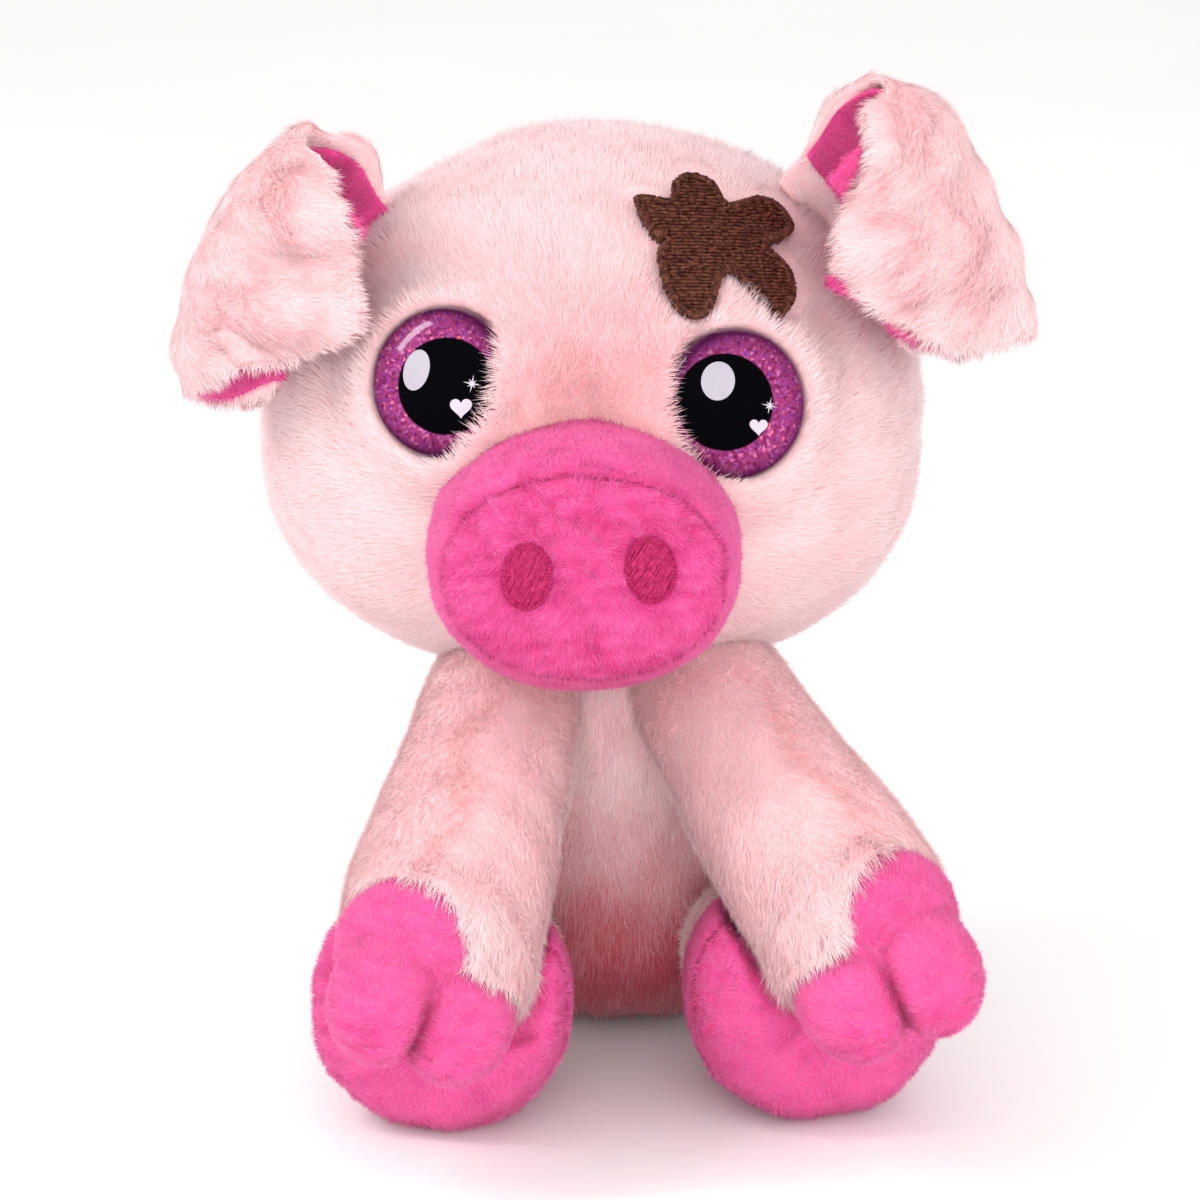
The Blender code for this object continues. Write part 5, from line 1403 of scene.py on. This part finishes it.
    def tall(spots):
        return 1 + 0.35 * softStep(length - 0.006, length, (spots - start) @ ahead)

    nodes = [f"foreleg_sleeve_{side}", f"foreleg_filling_{side}"]
    growPile(sleeve, foreleg["pile"] | {"seed": 71 + sides[side]}, layAll(ahead), thick, tone, tall, stand)
    wear(sleeve, palePile, f"foreleg_{side}", nodes)

    def hoofThick(spots):
        return (spots - start) @ ahead > length + 0.0006

    def hoofTone(spots):
        arm = spots - np.array(middle)
        crease = np.exp(-((arm @ np.array(spread)) / 0.0012) ** 2) * softStep(0, 0.006, arm @ np.array(point))
        seam = np.exp(-(((spots - start) @ ahead - length) / 0.0012) ** 2)
        return 0.10 + 0.45 * crease + 0.2 * seam + 0.12 * swirl(spots, 0.006, 83)[:, 0]

    growPile(item, hoof["pile"] | {"seed": 81 + sides[side]}, layAll(-point), hoofThick, hoofTone)
    wear(item, hotPile, f"foreleg_{side}", f"hoof_{side}")


for side in sides:
    makeForeleg(side)
print("forelegs made")


# hind legs and feet
foot = {
    "half": (0.0205, 0.0195), "power": 2.2, "drop": 0.0060, "length": 0.0550, "root": 0.0100,
    "spread": 0.0220, "forward": {"right": 0.0285, "left": 0.0240}, "yaw": {"right": 10, "left": 15},
    "leg": ((0.05, 0.42), (0.12, 0.60), (0.25, 0.70), (0.36, 0.75), (0.42, 0.76)),
    "ankle": (0.42, 0.76), "band": ((0.48, 0.83), (0.55, 0.90), (0.66, 0.975), (0.72, 0.995)), "seam": 0.76,
    "sole": ((0.18, 1.0), (0.4, 0.97), (0.55, 0.94), (0.7, 0.88), (0.85, 0.78), (0.93, 0.62), (0.97, 0.46)),
    "inset": 0.0006, "pileInset": 0.0013, "groove": 0.0008, "segments": 48,
}


def footPressed(side, spots, inset):
    # keeps the spots above the floor and below the foreleg that lies on them
    root, leg, across, rise = forelegFrame(side)
    clear = foreleg["radius"] + 0.0007 + inset
    placed = []
    for spot in spots:
        arm = spot - root
        hollow = math.sqrt(max(0, clear ** 2 - arm.dot(across) ** 2))
        ahead = float(softStep(foreleg["length"] - 0.008, foreleg["length"], arm.dot(leg)))
        over = arm.dot(rise) + hollow + (clear - hollow) * ahead
        if over > 0 and (hollow > 0 or ahead > 0):
            spot = spot - rise * over
        placed.append(Vector((spot.x, spot.y, max(spot.z, inset))))
    return placed


def footFrame(side):
    yaw = math.radians(foot["yaw"][side])
    heading = Vector((sides[side] * math.sin(yaw), -math.cos(yaw), 0))
    return heading, Vector((sides[side] * foot["spread"], -foot["forward"][side], foot["half"][1] - 0.0005))


def footRing(side, place, size, inset):
    heading, pivot = footFrame(side)
    centre = pivot + heading * (place - foot["root"]) - up * foot["drop"] * (1 - size)
    half = [value * size - inset for value in foot["half"]]
    ring = oval(centre, heading.cross(up), up, *half, foot["power"], foot["segments"])
    return footPressed(side, ring, inset)


def makeFoot(side):
    heading, pivot = footFrame(side)
    length, seam = foot["length"], foot["length"] * foot["seam"]
    flow = np.array(heading)

    rings = [footRing(side, length * place, size, foot["pileInset"]) for place, size in foot["leg"]]
    start = pivot - heading * (foot["root"] - 0.001) - up * foot["drop"]
    last = pivot + heading * (length * foot["ankle"][0] - foot["root"] + 0.0005) - up * foot["drop"] * 0.3
    sleeve = drawTube(f"hindlegSleeve_{side}", rings, start, last)

    def sleeveTone(spots):
        return 0.3 + 0.1 * swirl(spots, 0.008, 92)[:, 0]

    def aboveFloor(spots):
        return (spots[:, 2] > 0.0012) * 1.0

    nodes = [f"hindleg_sleeve_{side}", f"hindleg_filling_{side}"]
    growPile(sleeve, torso["pile"] | {"seed": 91 + sides[side]}, layAll(flow), None, sleeveTone)
    wear(sleeve, palePile, f"hindleg_{side}", nodes)

    def tone(spots):
        along = (spots - np.array(pivot)) @ flow + foot["root"]
        near = np.exp(-((along - seam) / 0.0012) ** 2)
        return 0.10 + 0.25 * near + 0.12 * swirl(spots, 0.007, 94)[:, 0]

    ankle, size = foot["ankle"]
    inset, groove = foot["inset"], foot["groove"]
    rings = [footRing(side, length * ankle + 0.0004, size, inset + tuck) for tuck in (0.003, 0)]
    rings += [footRing(side, length * place, size, inset) for place, size in foot["band"]]
    for back, depth in ((0.0004, 0.3), (0, 1), (0.0008, 2.5)):
        rings.append(footRing(side, seam - back, 1, inset + groove * depth))
    band = drawTube(f"footBand_{side}", rings)
    growPile(band, hoof["pile"] | {"seed": 95 + sides[side]}, layAll(-flow), aboveFloor, tone)
    wear(band, hotPile, f"hindleg_{side}", f"foot_band_{side}")

    crown = length - seam - inset
    rings = [footRing(side, seam + reach, 1, inset + groove * depth)
             for reach, depth in ((0.0006, 2.5), (0.0003, 1), (0.0008, 0.3))]
    rings += [footRing(side, seam + crown * place, size, inset) for place, size in foot["sole"]]
    tip = footPressed(side, [pivot + heading * (length - foot["root"] - inset) - up * foot["drop"]], inset)[0]
    sole = drawTube(f"footSole_{side}", rings, None, tip)
    lump(sole, 0.0003, 0.012, 96 + sides[side])

    def soleComb(spots, outward):
        flat = spots - np.array(tip)
        return unit(flat - (flat @ flow)[:, None] * flow) * 0.6 + np.array((0, 0, -0.5))

    growPile(sole, hoof["pile"] | {"seed": 99 + sides[side]}, soleComb, aboveFloor, tone)
    wear(sole, hotPile, f"hindleg_{side}", f"foot_sole_{side}")


for side in sides:
    makeFoot(side)
print("feet made")


tail = {
    "radius": 0.0027, "tip": 0.60, "curl": 0.0062, "pitch": 0.0135, "turns": 1.40, "opening": 0.60,
    "stub": 0.0040, "pivot": (0, 0.0292447, 0.0240), "inset": 0.0008, "steps": 48,
    "pile": {
        "perMm2": 7, "length": 0.0013, "width": 0.00018, "lift": 0.4, "loose": 0.2, "tuft": 0.005,
        "stray": 0.4, "fleck": 0.12, "relief": 0.4, "seed": 103,
    },
}


def makeTail():
    pivot = Vector(tail["pivot"])
    spine = [pivot + Vector((0, -tail["stub"] * 0.3, 0))]
    for step in range(tail["steps"] + 1):
        share = step / tail["steps"]
        turn = math.tau * tail["turns"] * share - math.pi / 2
        curl = tail["curl"] * math.sin(math.pi / 2 * min(1, share / tail["opening"])) ** 2
        back = tail["pitch"] * tail["turns"] * share
        spine.append(pivot + Vector((curl * math.cos(turn), back, curl * math.sin(turn))))
    rings, rise = [], up
    for i, point in enumerate(spine):
        ahead = (spine[min(i + 1, len(spine) - 1)] - spine[max(i - 1, 0)]).normalized()
        across = ahead.cross(rise).normalized()
        rise = across.cross(ahead)
        radius = tail["radius"] * (1 + (tail["tip"] - 1) * i / (len(spine) - 1)) - tail["inset"]
        rings.append(circle(point, across, rise, radius, 16))
    item = drawTube("tailSkin", rings, spine[0], spine[-1] + ahead * tail["radius"] * 0.4)
    growPile(item, tail["pile"], layAll((0, 1, 0), 0))
    wear(item, palePile, "tail", "tail")


makeTail()
print("tail made")


# the floor
floorFinish, floorTree, floorShader = startFinish("paleFloor")
floorGrain = floorTree.nodes.new("ShaderNodeTexNoise")
floorGrain.inputs["Scale"].default_value = 6
floorPlace = floorTree.nodes.new("ShaderNodeTexCoord").outputs["Object"]
floorTree.links.new(floorPlace, floorGrain.inputs["Vector"])
floorShades = ((0.3, (0.96, 0.96, 0.96)), (0.7, (0.98, 0.98, 0.98)))
floorColour = addRamp(floorTree, floorGrain.outputs["Fac"], floorShades)
floorTree.links.new(floorColour, floorShader.inputs["Base Color"])
floorShader.inputs["Roughness"].default_value = 0.8
bpy.ops.object.select_all(action="DESELECT")
bpy.ops.mesh.primitive_plane_add(size=8, location=(0, 0, 0))
floor = bpy.context.object
floor.name = "floor"
floor.data.materials.append(floorFinish)
floor.visible_glossy = False
